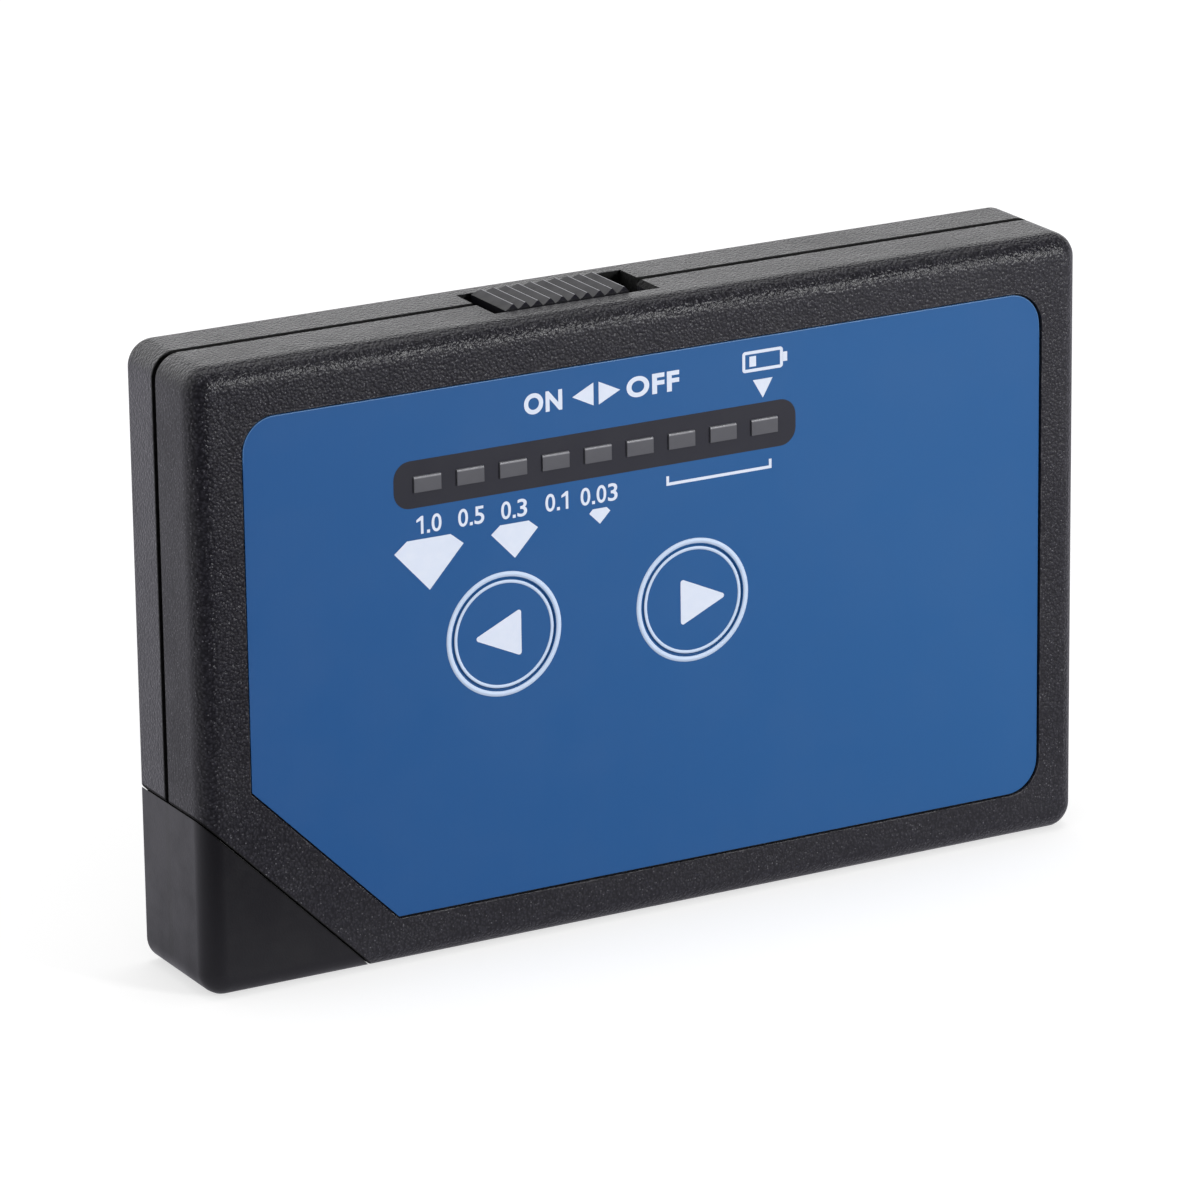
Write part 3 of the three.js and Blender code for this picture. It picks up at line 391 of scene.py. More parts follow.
def make_dust():
    """Single specks of dust, far apart."""
    inputs = [("Spacing", 0.002), ("Speck Share", 0.06), ("Chance", 0.2)]
    tree, given, out = finish_group("dust", inputs, ["Mask"])
    where = place_on_piece(tree, given["Spacing"])
    cells = add(tree, "ShaderNodeTexVoronoi", {"Vector": where, "Scale": 1.0}, feature="F1")
    chance = add(tree, "ShaderNodeSeparateColor", {0: cells.outputs["Color"]}).outputs[1]
    there = sums(tree, "LESS_THAN", chance, given["Chance"])
    size = sums(tree, "MULTIPLY", given["Speck Share"], sums(tree, "ADD", chance, 0.4))
    near = sums(tree, "LESS_THAN", cells.outputs["Distance"], size)
    tree.links.new(sums(tree, "MULTIPLY", there, near), out.inputs["Mask"])
    return tree


def make_brushing():
    """Fine upright streaks, as on brushed film."""
    tree, given, out = finish_group("brushing", [("Line Width", 0.0002), ("Line Length", 0.02)], ["Streak"])
    across = sums(tree, "DIVIDE", 1.0, given["Line Width"])
    upright = sums(tree, "DIVIDE", 1.0, given["Line Length"])
    steps = add(tree, "ShaderNodeCombineXYZ", {0: across, 1: across, 2: upright}).outputs[0]
    where = add(tree, "ShaderNodeVectorMath", {0: on_piece(tree), 1: steps}, operation="MULTIPLY").outputs[0]
    tree.links.new(noise(tree, where, detail=3.0, roughness=0.6), out.inputs["Streak"])
    return tree


effects = {
    "grain": make_mould_grain(),
    "handling": make_handling(),
    "wear_and_highlight": make_edge_wear_and_highlight(),
    "gap_shade": make_painted_gap_shade(),
    "walls": make_wall_finish(),
    "slope": make_painted_light_slope(),
    "crests": make_crest_shade(),
    "dust": make_dust(),
    "brushing": make_brushing(),
}


class Finish:
    """A material in the making: its colour, roughness and bump are built up from shared effects."""

    def __init__(self, name, colour, roughness, metallic=0.0, **fixed):
        self.material = bpy.data.materials.new(name)
        self.material.use_nodes = True
        self.tree = self.material.node_tree
        self.shader = self.tree.nodes["Principled BSDF"]
        self.colour = colour
        self.roughness = roughness
        self.shader.inputs["Metallic"].default_value = metallic
        for key, value in fixed.items():
            self.shader.inputs[key.replace("_", " ")].default_value = value
        self.bumps = None

    def effect(self, key, inputs=()):
        made = self.tree.nodes.new("ShaderNodeGroup")
        made.node_tree = effects[key]
        for label, value in dict(inputs).items():
            made.inputs[label].default_value = value
        return made.outputs

    def handled(self, patch_size):
        return self.effect("handling", {"Patch Size": patch_size})

    def tint(self, mask, colour, share=1.0):
        """Another colour where the mask is 1."""
        amount = sums(self.tree, "MULTIPLY", mask, share, held=True)
        self.colour = blend_tones(self.tree, amount, self.colour, colour)

    def rub_and_highlight_edges(self, colour, share, values):
        self.tint(self.effect("wear_and_highlight", values)["Mask"], colour, share)

    def add_dust(self, colour, share, values):
        self.tint(self.effect("dust", values)["Mask"], colour, share)

    def vary(self, value, low, high):
        """Roughness added as a value goes from 0 to 1."""
        self.roughness = sums(self.tree, "ADD", spread(self.tree, value, 0.0, 1.0, low, high), self.roughness)

    def bump(self, height, depth, strength=1.0):
        inputs = {"Height": height, "Distance": depth, "Strength": strength}
        if self.bumps:
            inputs["Normal"] = self.bumps
        self.bumps = add(self.tree, "ShaderNodeBump", inputs).outputs[0]

    def done(self):
        for label, value in (("Base Color", self.colour), ("Roughness", self.roughness)):
            if isinstance(value, bpy.types.NodeSocket):
                self.tree.links.new(value, self.shader.inputs[label])
            else:
                self.shader.inputs[label].default_value = value
        if self.bumps:
            self.tree.links.new(self.bumps, self.shader.inputs["Normal"])
        return self.material


def case_plastic():
    made = Finish("case_plastic", tone(21, 20, 26), 0.34)
    grain = made.effect("grain", {"Pebble Size": 0.00027, "Fine Share": 0.7})
    walls = made.effect("walls")
    touch = made.handled(0.014)
    # Pebble tops painted lighter than their hollows as painted light and shade on the grain
    made.tint(spread(made.tree, grain["Height"], 0.75, 1.25), tone(48, 47, 54))
    made.tint(touch["Shade"], tone(35, 34, 41), 0.3)
    # Bright specks painted on single pebbles as painted glints
    made.tint(grain["Glint"], tone(126, 125, 130), 0.75)
    # Edges painted lighter: partly rubbed wear, partly a painted highlight along lit rims such as that of the
    # film's recess
    made.rub_and_highlight_edges(tone(98, 96, 99), 0.55, {"Cover": 0.6})
    made.add_dust(tone(140, 138, 136), 0.8, {"Spacing": 0.003, "Speck Share": 0.018, "Chance": 0.2})
    # Near black painted into the seams, the knob's slot and the film's recess as painted shade
    gap_shade = made.effect("gap_shade")["Mask"]
    made.tint(gap_shade, tone(5, 5, 6))
    made.vary(touch["Rub"], -0.05, 0.04)
    made.vary(walls["Dull"], 0.0, 0.2)
    made.vary(gap_shade, 0.0, 0.5)
    made.bump(sums(made.tree, "MULTIPLY", grain["Height"], walls["Depth"]), 0.000075, 1.0)
    return made.done()


def cap_plastic():
    made = Finish("cap_plastic", tone(18, 17, 22), 0.4)
    touch = made.handled(0.01)
    grain = made.effect("grain", {"Pebble Size": 0.0002, "Fine Share": 0.6})
    made.tint(touch["Shade"], tone(23, 22, 27), 0.6)
    made.rub_and_highlight_edges(tone(96, 95, 98), 0.5, {"Cover": 0.8})
    made.add_dust(tone(150, 148, 145), 0.8, {"Spacing": 0.0035, "Speck Share": 0.025, "Chance": 0.3})
    # Near black painted into the cap seam as painted shade
    made.tint(made.effect("gap_shade")["Mask"], tone(5, 5, 6))
    made.vary(touch["Rub"], -0.07, 0.06)
    made.bump(grain["Height"], 0.00001, 0.5)
    return made.done()


def knob_plastic():
    made = Finish("knob_plastic", tone(15, 15, 20), 0.42, Specular_IOR_Level=0.26)
    touch = made.handled(0.004)
    # Crests painted lighter than the valleys as painted light and shade
    made.tint(made.effect("crests")["Share"], tone(30, 28, 38))
    made.tint(touch["Shade"], tone(27, 26, 33), 0.3)
    # Knob crests painted much lighter as a painted highlight
    made.rub_and_highlight_edges(tone(172, 172, 178), 0.9, {"Run Length": 0.0008, "Cover": 1.4})
    made.vary(touch["Rub"], -0.06, 0.06)
    made.bump(made.effect("grain", {"Pebble Size": 0.00016})["Height"], 0.000008, 0.5)
    return made.done()


def inner_plastic():
    made = Finish("inner_plastic", tone(36, 36, 38), 0.45)
    touch = made.handled(0.006)
    made.tint(touch["Shade"], tone(46, 46, 48), 0.7)
    made.vary(touch["Rub"], -0.08, 0.08)
    made.bump(made.effect("grain", {"Pebble Size": 0.0002})["Height"], 0.00001, 0.5)
    return made.done()


def blue_film():
    made = Finish("blue_film", tone(27, 81, 140), 0.42, Specular_IOR_Level=0.35)
    brushing = made.effect("brushing", {"Line Width": 0.00022, "Line Length": 0.018})
    touch = made.handled(0.02)
    made.tint(brushing["Streak"], tone(34, 86, 144), 0.7)
    made.tint(touch["Shade"], tone(26, 79, 137), 0.4)
    # Film painted lighter towards the upper right as painted light
    made.tint(made.effect("slope")["Share"], tone(34, 94, 152), 0.75)
    # Film's upper edge painted lighter as a painted highlight; its lower and side edges stay plain
    made.rub_and_highlight_edges(tone(96, 142, 194), 0.6, {"Run Length": 0.003, "Cover": 1.2})
    made.add_dust(tone(150, 175, 210), 0.8, {"Spacing": 0.0042, "Speck Share": 0.022, "Chance": 0.3})
    made.vary(touch["Rub"], -0.05, 0.05)
    made.bump(brushing["Streak"], 0.000004, 0.6)
    return made.done()


def dark_ink():
    made = Finish("dark_ink", tone(44, 44, 52), 0.42, Specular_IOR_Level=0.3)
    touch = made.handled(0.008)
    made.tint(touch["Shade"], tone(49, 49, 57), 0.7)
    made.add_dust(tone(190, 190, 190), 0.7, {"Spacing": 0.0022, "Speck Share": 0.035, "Chance": 0.3})
    made.vary(touch["Rub"], -0.05, 0.05)
    return made.done()


def white_ink():
    made = Finish("white_ink", tone(222, 229, 243), 0.5, Specular_IOR_Level=0.3)
    touch = made.handled(0.0022)
    made.tint(touch["Shade"], tone(208, 219, 238), 0.5)
    made.tint(touch["Rub"], tone(228, 233, 245), 0.4)
    made.vary(touch["Rub"], -0.05, 0.05)
    return made.done()


def pale_ink():
    made = Finish("pale_ink", tone(205, 221, 244), 0.5, Specular_IOR_Level=0.3)
    touch = made.handled(0.003)
    made.tint(touch["Shade"], tone(192, 211, 239), 0.6)
    made.vary(touch["Rub"], -0.05, 0.05)
    return made.done()


def smoked_lens():
    made = Finish("smoked_lens", tone(86, 86, 91), 0.36, Specular_IOR_Level=0.3)
    touch = made.handled(0.0012)
    made.tint(touch["Shade"], tone(95, 95, 100), 0.7)
    # Upper edges of the lamp faces painted lighter as a painted highlight
    made.rub_and_highlight_edges(tone(124, 124, 129), 0.9, {"Run Length": 0.0007, "Cover": 1.2})
    made.vary(touch["Rub"], -0.06, 0.06)
    made.bump(touch["Shade"], 0.00001, 0.3)
    return made.done()


def green_board():
    made = Finish("green_board", tone(38, 104, 52), 0.32)
    touch = made.handled(0.005)
    weave = made.effect("brushing", {"Line Width": 0.0006, "Line Length": 0.0007})
    made.tint(touch["Shade"], tone(48, 118, 60), 0.6)
    made.tint(weave["Streak"], tone(30, 90, 44), 0.4)
    made.vary(touch["Rub"], -0.06, 0.08)
    made.bump(weave["Streak"], 0.00001, 0.4)
    return made.done()


def plated_steel():
    made = Finish("plated_steel", tone(196, 198, 200), 0.26, metallic=1.0)
    touch = made.handled(0.003)
    turning = made.effect("brushing", {"Line Width": 0.0001, "Line Length": 0.004})
    made.tint(touch["Rub"], tone(160, 158, 155), 0.5)
    made.rub_and_highlight_edges(tone(226, 226, 226), 0.6, {"Cover": 1.0})
    made.vary(turning["Streak"], -0.04, 0.14)
    made.bump(turning["Streak"], 0.000006, 0.5)
    return made.done()


def dulled_copper():
    made = Finish("dulled_copper", tone(205, 128, 88), 0.26, metallic=1.0)
    touch = made.handled(0.0012)
    made.tint(touch["Shade"], tone(176, 96, 66), 0.7)
    made.tint(touch["Rub"], tone(120, 74, 60), 0.4)
    made.vary(touch["Rub"], -0.04, 0.16)
    made.bump(touch["Shade"], 0.00001, 0.4)
    return made.done()


def battery_jacket():
    made = Finish("battery_jacket", tone(150, 152, 158), 0.28, metallic=0.5)
    touch = made.handled(0.006)
    made.tint(touch["Shade"], tone(128, 130, 137), 0.7)
    made.rub_and_highlight_edges(tone(205, 205, 208), 0.6, {"Cover": 1.0})
    made.vary(touch["Rub"], -0.06, 0.1)
    made.bump(touch["Shade"], 0.00002, 0.3)
    return made.done()


paints = {
    "case_plastic": case_plastic(),
    "cap_plastic": cap_plastic(),
    "knob_plastic": knob_plastic(),
    "inner_plastic": inner_plastic(),
    "film": blue_film(),
    "led_lens": smoked_lens(),
    "board": green_board(),
    "steel": plated_steel(),
    "copper": dulled_copper(),
    "battery_jacket": battery_jacket(),
    "dark_ink": dark_ink(),
    "white_ink": white_ink(),
    "pale_ink": pale_ink(),
}
slot_of = {row["node"]: row["material_slot"] for row in frame["record"]["subparts"]}
body_of = {node: body for body, nodes in frame["record"]["behaviour"]["bodies"].items() for node in nodes}


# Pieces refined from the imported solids

def outline_depth(x, z):
    """How far a point lies inside the case's rounded outline, as seen from the front."""
    across = abs(x) - (half_width - CORNER_RADIUS)
    up = abs(z - case_top / 2) - (case_top / 2 - CORNER_RADIUS)
    return CORNER_RADIUS - math.hypot(max(across, 0), max(up, 0)) - min(max(across, up), 0)


def on_skin(point):
    """Whether a point lies on the case's outer form."""
    depth = outline_depth(point.x, point.z)
    for sunk, fillet in ((point.y - front_face, FRONT_FILLET), (back_face - point.y, BACK_FILLET)):
        if sunk < fillet and depth < fillet:
            return abs(math.hypot(fillet - sunk, fillet - depth) - fillet) < SKIN_ROOM
        if sunk < SKIN_ROOM:
            return True
    return abs(depth) < SKIN_ROOM


def any_place(point):
    return True


def past_cap(point):
    """How far a point lies past the cap's side of the cap seam, square to the seam."""
    return (point.x + half_width + point.z - CAP_LEG) / math.sqrt(2)


def at_seam(point):
    """Whether a point of the skin lies on one of the two faces of the case seam."""
    return on_skin(point) and min(abs(point.y - plane) for plane in seam_planes) < PLANE_ROOM


def at_cap(point):
    """Whether a point of the skin lies on one of the two faces of the cap seam."""
    return on_skin(point) and -CAP_SEAM - PLANE_ROOM < past_cap(point) < PLANE_ROOM


def by_joint(point):
    return at_seam(point) or at_cap(point)


def off_joint(point):
    return on_skin(point) and not by_joint(point)


def on_film_face(point):
    return point.y < film_face + SKIN_ROOM


def at_film_top(point):
    """Whether a point lies on the film's face by its upper edge or one of its upper corners."""
    return on_film_face(point) and point.z > film_top - 2 * CORNER_RADIUS


def below_film_top(point):
    return on_film_face(point) and not at_film_top(point)


def on_key_face(point):
    return point.y < film_face + KEY_EDGE


def on_knob_top(point):
    return point.z > knob_top - SKIN_ROOM


def at_lamp_top(point):
    """Whether a point lies on the upper edge of a lamp's face."""
    return point.y < front_face + SKIN_ROOM and point.z > lamp_top - SKIN_ROOM


def on_screw_head(point):
    return point.y > screw_head - SKIN_ROOM


def new_piece(name, mesh, paint):
    piece = bpy.data.objects.new(name, mesh)
    bpy.context.scene.collection.objects.link(piece)
    mesh.materials.clear()
    mesh.materials.append(paints[paint])
    return piece


def in_place(piece, body, slot, *stands_for):
    """Puts a finished piece on its body, in the place of the CAD nodes that it stands for. The slot is not
    used.
    """
    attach(piece, body)
    if stands_for:
        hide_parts(*stands_for)


def baked(piece, name, paint):
    """The piece with its modifiers applied, as a new plain mesh."""
    bpy.context.view_layer.update()
    ready = piece.evaluated_get(bpy.context.evaluated_depsgraph_get())
    mesh = bpy.data.meshes.new_from_object(ready)
    bpy.data.objects.remove(piece)
    made = new_piece(name, mesh, paint)
    mesh.name = name
    return made


def joint_shade(face):
    """How much painted shade a face off the skin gets: fully in a seam or the knob's slot, less in the film's
    recess.
    """
    middle = face.calc_center_median()
    if on_skin(middle):
        return 0.0
    by_cap = -CAP_SEAM - SKIN_ROOM < past_cap(middle) < SKIN_ROOM
    by_seam = abs(middle.y - SEAM_MIDDLE) < SEAM_GROOVE / 2 + SKIN_ROOM
    if by_cap or by_seam or middle.z > case_top - RECESS_REACH:
        return 1.0
    return RECESS_SHADE if middle.y < front_face + RECESS_REACH else 0.0


def merged(node):
    """A CAD node's mesh to work on, with doubled points merged and flat stretches as one face."""
    mesh = bmesh.new()
    mesh.from_mesh(frame["nodes"][node].data)
    bmesh.ops.remove_doubles(mesh, verts=mesh.verts, dist=WELD)
    bmesh.ops.dissolve_limit(mesh, angle_limit=FLAT_ANGLE, verts=mesh.verts, edges=mesh.edges)
    return mesh


def round_edges(mesh, radius, where):
    """Rounds the hard outward edges that pass a place test, and gives the faces that this makes."""
    hard = [
        e for e in mesh.edges
        if e.is_manifold and e.is_convex and e.calc_face_angle() > HARD_ANGLE
        and where(e.verts[0].co) and where(e.verts[1].co)
    ]
    return bmesh.ops.bevel(
        mesh, geom=hard, offset=radius, offset_type="OFFSET", segments=EDGE_STEPS, profile=0.5,
        affect="EDGES", clamp_overlap=False, loop_slide=True, material=-1,
    )["faces"]


def as_data(mesh, name):
    """A finished mesh that an object can carry."""
    data = bpy.data.meshes.new(name)
    mesh.to_mesh(data)
    mesh.free()
    return data


def rounded_mesh(node, passes, joints):
    """A CAD node's mesh with smooth shading and rounded edges. Each pass has a radius and a place test.
    The edges painted lighter, as wear or as a highlight, are marked, and on the case's own pieces the painted
    shade of their joints as well."""
    mesh = merged(node)
    worn_or_lit = mesh.loops.layers.float.new("edge")
    gap_shade = mesh.loops.layers.float.new("gap_shade")
    for radius, where in passes:
        for face in round_edges(mesh, radius, where):
            for loop in face.loops:
                loop[worn_or_lit] = 0.0 if radius in PLAIN_EDGES else 1.0
    for face in mesh.faces:
        face.smooth = True
        shade = joint_shade(face) if joints else 0.0
        if shade:
            for loop in face.loops:
                loop[gap_shade] = shade
                loop[worn_or_lit] = 0.0
    for e in mesh.edges:
        e.smooth = not e.is_manifold or e.calc_face_angle() < SHARP_ANGLE
    return as_data(mesh, node)


def refined(node, name, *passes, joints=False):
    """A new piece from a CAD node, with rounded edges and even shading."""
    paint = slot_of[node]
    piece = new_piece(name, rounded_mesh(node, passes, joints), paint)
    even = piece.modifiers.new("even", "WEIGHTED_NORMAL")
    even.keep_sharp = True
    return baked(piece, name, paint)


def dress(node, name, *passes, joints=False):
    """Puts a refined piece in the place of its CAD node."""
    in_place(refined(node, name, *passes, joints=joints), body_of[node], slot_of[node], node)


# Geometry Nodes trees for what repeats

def geometry_tree(name, inputs):
    """An empty Geometry Nodes tree with a mesh input, named inputs and a material."""
    tree = bpy.data.node_groups.new(name, "GeometryNodeTree")
    tree.interface.new_socket("Geometry", in_out="INPUT", socket_type="NodeSocketGeometry")
    for label, kind in (*inputs, ("Material", "NodeSocketMaterial")):
        tree.interface.new_socket(label, in_out="INPUT", socket_type=kind)
    tree.interface.new_socket("Geometry", in_out="OUTPUT", socket_type="NodeSocketGeometry")
    return tree, tree.nodes.new("NodeGroupInput").outputs, tree.nodes.new("NodeGroupOutput").inputs


def close_tree(tree, given, out, shape):
    """The tree with a shape led to its output, as plain geometry in the given material."""
    real = add(tree, "GeometryNodeRealizeInstances", {"Geometry": shape}).outputs[0]
    inputs = {"Geometry": real, "Material": given["Material"]}
    tree.links.new(add(tree, "GeometryNodeSetMaterial", inputs).outputs[0], out[0])
    return tree


def copies_tree():
    """One copy of a shape on each point of the mesh that carries the tree."""
    tree, given, out = geometry_tree("copies_on_points", [("Shape", "NodeSocketObject")])
    points = add(tree, "GeometryNodeMeshToPoints", {"Mesh": given["Geometry"]}).outputs[0]
    shape = add(tree, "GeometryNodeObjectInfo", {"Object": given["Shape"]}, transform_space="ORIGINAL")
    inputs = {"Points": points, "Instance": shape.outputs["Geometry"]}
    return close_tree(tree, given, out, add(tree, "GeometryNodeInstanceOnPoints", inputs).outputs[0])


def ring_tree():
    """A flat printed ring that faces the front: a circle that carries a low oblong section."""
    floats = ("Inner Radius", "Outer Radius", "Ink")
    inputs = [(label, "NodeSocketFloat") for label in floats] + [("Sides", "NodeSocketInt")]
    tree, given, out = geometry_tree("printed_ring", inputs)
    both = sums(tree, "ADD", given["Inner Radius"], given["Outer Radius"])
    middle = sums(tree, "MULTIPLY", both, 0.5)
    band = sums(tree, "SUBTRACT", given["Outer Radius"], given["Inner Radius"])
    circle = {"Resolution": given["Sides"], "Radius": middle}
    path = add(tree, "GeometryNodeCurvePrimitiveCircle", circle, mode="RADIUS").outputs[0]
    oblong_size = {"Width": band, "Height": given["Ink"]}
    section = add(tree, "GeometryNodeCurvePrimitiveQuadrilateral", oblong_size).outputs[0]
    ring = add(tree, "GeometryNodeCurveToMesh", {"Curve": path, "Profile Curve": section}).outputs[0]
    upright = {"Geometry": ring, "Rotation": (math.pi / 2, 0, 0)}
    return close_tree(tree, given, out, add(tree, "GeometryNodeTransform", upright).outputs[0])


def coil_tree():
    """A coil of round wire along X, which may widen towards its end."""
    floats = ("Turns", "Start Radius", "End Radius", "Length", "Wire Radius")
    inputs = [(label, "NodeSocketFloat") for label in floats]
    inputs += [(label, "NodeSocketInt") for label in ("Steps", "Wire Sides")]
    tree, given, out = geometry_tree("wire_coil", inputs)
    path = add(tree, "GeometryNodeCurveSpiral", {
        "Resolution": given["Steps"], "Rotations": given["Turns"], "Start Radius": given["Start Radius"],
        "End Radius": given["End Radius"], "Height": given["Length"],
    }).outputs[0]
    circle = {"Resolution": given["Wire Sides"], "Radius": given["Wire Radius"]}
    section = add(tree, "GeometryNodeCurvePrimitiveCircle", circle, mode="RADIUS").outputs[0]
    inputs = {"Curve": path, "Profile Curve": section, "Fill Caps": True}
    wire = add(tree, "GeometryNodeCurveToMesh", inputs).outputs[0]
    lying = {"Geometry": wire, "Rotation": (0, math.pi / 2, 0)}
    turned = add(tree, "GeometryNodeTransform", lying).outputs[0]
    smooth = add(tree, "GeometryNodeSetShadeSmooth", {"Geometry": turned, "Shade Smooth": True})
    return close_tree(tree, given, out, smooth.outputs[0])


def grown(tree, name, paint, inputs, points=((0, 0, 0),)):
    """A piece made by a Geometry Nodes tree from some points, as a plain mesh."""
    seed = bpy.data.meshes.new(name)
    seed.from_pydata([Vector(p) for p in points], [], [])
    piece = new_piece(name, seed, paint)
    grower = piece.modifiers.new("grower", "NODES")
    grower.node_group = tree
    values = dict(inputs, Material=paints[paint])
    for item in tree.interface.items_tree:
        if item.item_type == "SOCKET" and item.in_out == "INPUT" and item.name in values:
            grower[item.identifier] = values[item.name]
    return baked(piece, name, paint)


copies = copies_tree()
printed_ring = ring_tree()
wire_coil = coil_tree()


def moved(piece, offset):
    piece.data.transform(Matrix.Translation(Vector(offset)))
    return piece


def dress_case():
    for half in ("front", "back"):
        edges = ((CASE_EDGE, off_joint), (SEAM_EDGE, by_joint))
        dress(f"{half}_shell", f"case_{half}", *edges, joints=True)
    dress("corner_cap", "cap_shell", (CAP_EDGE, off_joint), (CAP_SEAM_EDGE, by_joint), joints=True)
    dress("battery_cover", "cover_plate", (CASE_EDGE, on_skin))
    dress("film_overlay", "film_sheet", (FILM_EDGE, at_film_top), (OPENING_EDGE, below_film_top))
    dress("power_knob", "slide_knob", (KNOB_EDGE, on_knob_top))
    for side in ("left", "right"):
        dress(f"key_{side}", f"round_key_{side}", (KEY_EDGE, on_key_face))


def dress_copies(first, nodes, name, edge, where):
    """Puts a refined copy of one CAD node in the place of each node of a set, all as one piece."""
    home = middle_of(first)
    shape = moved(refined(first, name + "_shape", (edge, where)), -home)
    piece = grown(copies, name, slot_of[first], {"Shape": shape}, [middle_of(n) for n in nodes])
    bpy.data.objects.remove(shape)
    in_place(piece, body_of[first], slot_of[first], *nodes)


def dress_repeats():
    dress_copies(lamps[LAMP_COUNT // 2], lamps, "lamp_row", LAMP_EDGE, at_lamp_top)
    dress_copies(screws[0], screws, "screw_set", SCREW_EDGE, on_screw_head)


# Printing

def flat_piece(name, outlines, paint):
    """Closed outlines in X and Z, inner ones as holes, as a thin layer of ink on the film."""
    curve = bpy.data.curves.new(name, "CURVE")
    curve.dimensions = "2D"
    curve.fill_mode = "BOTH"
    curve.extrude = INK / 2
    for outline in outlines:
        line = curve.splines.new("POLY")
        line.points.add(len(outline) - 1)
        for point, (x, z) in zip(line.points, outline):
            point.co = (x, z, 0, 1)
        line.use_cyclic_u = True
    return laid_on_film(bpy.data.objects.new(name, curve), name, paint)


def laid_on_film(flat, name, paint):
    """A flat curve or text as a mesh, turned to look to the front and laid on the film's face."""
    bpy.context.scene.collection.objects.link(flat)
    piece = baked(flat, name, paint)
    mesh = bmesh.new()
    mesh.from_mesh(piece.data)
    bmesh.ops.remove_doubles(mesh, verts=mesh.verts, dist=INK_WELD)
    turn = Matrix(((1, 0, 0, 0), (0, 0, -1, 0), (0, 1, 0, 0), (0, 0, 0, 1)))
    bmesh.ops.transform(mesh, matrix=turn, verts=mesh.verts)
    bmesh.ops.translate(mesh, vec=(0, ink_middle, 0), verts=mesh.verts)
    bmesh.ops.recalc_face_normals(mesh, faces=mesh.faces)
    mesh.to_mesh(piece.data)
    mesh.free()
    return piece


def lettering(name, words, x_span, z_middle, height, paint, weight):
    """Generic scale lettering stretched to a measured width and height."""
    curve = bpy.data.curves.new(name, "FONT")
    curve.body = words
    curve.size = height
    curve.offset = weight
    curve.space_character = LABEL_SPACING
    curve.extrude = INK / 2
    piece = laid_on_film(bpy.data.objects.new(name, curve), name, paint)
    points = piece.data.vertices
    x_low, x_high = min(v.co.x for v in points), max(v.co.x for v in points)
    z_low, z_high = min(v.co.z for v in points), max(v.co.z for v in points)
    x_share = (x_span[1] - x_span[0]) / (x_high - x_low)
    z_share = height / (z_high - z_low)
    for v in points:
        v.co.x = x_span[0] + (v.co.x - x_low) * x_share
        v.co.z = z_middle + (v.co.z - (z_low + z_high) / 2) * z_share
    return piece


def numeral(words, x_middle):
    """A scale number, figure by figure, about a middle in X."""
    wide = {"1": ONE_WIDTH + DIGIT_GAP, ".": POINT_SIDE}
    total = sum(wide.get(sign, DIGIT_WIDTH) for sign in words) + DIGIT_GAP * (len(words) - 1)
    x = x_middle - total / 2
    low, high = SCALE_Z - SCALE_HEIGHT / 2, SCALE_Z + SCALE_HEIGHT / 2
    made = []
    for sign in words:
        width = wide.get(sign, DIGIT_WIDTH)
        if sign == "1":
            stem, right = x + ONE_WIDTH - ONE_STEM, x + ONE_WIDTH
            flag = ONE_STEM * 0.8
            outline = [
                (stem, low), (right, low), (right, high), (right - flag, high), (x, high - 1.6 * flag),
                (x, high - 2.7 * flag), (stem, high - 1.9 * flag),
            ]
            made.append(flat_piece("figure", [outline], "white_ink"))
        elif sign == ".":
            outline = oblong(x + width / 2, low + POINT_SIDE / 2, POINT_SIDE, POINT_SIDE)
            made.append(flat_piece("figure", [outline], "white_ink"))
        else:
            span = (x, x + width)
            made.append(lettering("figure", sign, span, SCALE_Z, SCALE_HEIGHT, "white_ink", DIGIT_WEIGHT))
        x += width + DIGIT_GAP
    return made


def rounded_corners(corners, radius):
    """A closed outline with each corner rounded by a radius."""
    outline = []
    count = len(corners)
    for i in range(count):
        here, before, after = (Vector(corners[j % count]) for j in (i, i - 1, i + 1))
        back, on = (before - here).normalized(), (after - here).normalized()
        half = back.angle(on) / 2
        start = here + back * radius / math.tan(half)
        middle = here + (back + on).normalized() * radius / math.sin(half)
        first = start - middle
        swept = math.pi - 2 * half
        turn = 1 if first.x * (here - middle).y - first.y * (here - middle).x > 0 else -1
        for k in range(CORNER_STEPS + 1):
            angle = turn * swept * k / CORNER_STEPS
            c, s = math.cos(angle), math.sin(angle)
            outline.append((middle.x + first.x * c - first.y * s, middle.y + first.x * s + first.y * c))
    return outline


def oblong(x, z, width, height):
    return [(x + i * width / 2, z + j * height / 2) for i, j in ((-1, -1), (1, -1), (1, 1), (-1, 1))]


def arrow(base, tip, z, half):
    return [(base, z - half), (tip, z), (base, z + half)]


def gem(x, width, height, table, crown):
    """A cut gem from the side: a flat table, a short crown and a pointed base."""
    top = GEM_TOP
    return [
        (x - table / 2, top), (x - width / 2, top - crown), (x, top - height),
        (x + width / 2, top - crown), (x + table / 2, top),
    ]


def joined(pieces, name, paint):
    """Several pieces as one mesh."""
    mesh = bmesh.new()
    for piece in pieces:
        mesh.from_mesh(piece.data)
        bpy.data.objects.remove(piece)
    return new_piece(name, as_data(mesh, name), paint)


def print_strip():
    """The dark strip with a window for each lamp."""
    strip = [rounded_corners(oblong(lamp_row.x, lamp_row.z, *STRIP_SIZE), STRIP_RADIUS)]
    window = [side + 2 * WINDOW_ROOM for side in LENS_SIZE]
    strip += [oblong(middle_of(lamp).x, lamp_row.z, *window) for lamp in lamps]
    in_place(flat_piece("lamp_strip", strip, "dark_ink"), "case", "film")


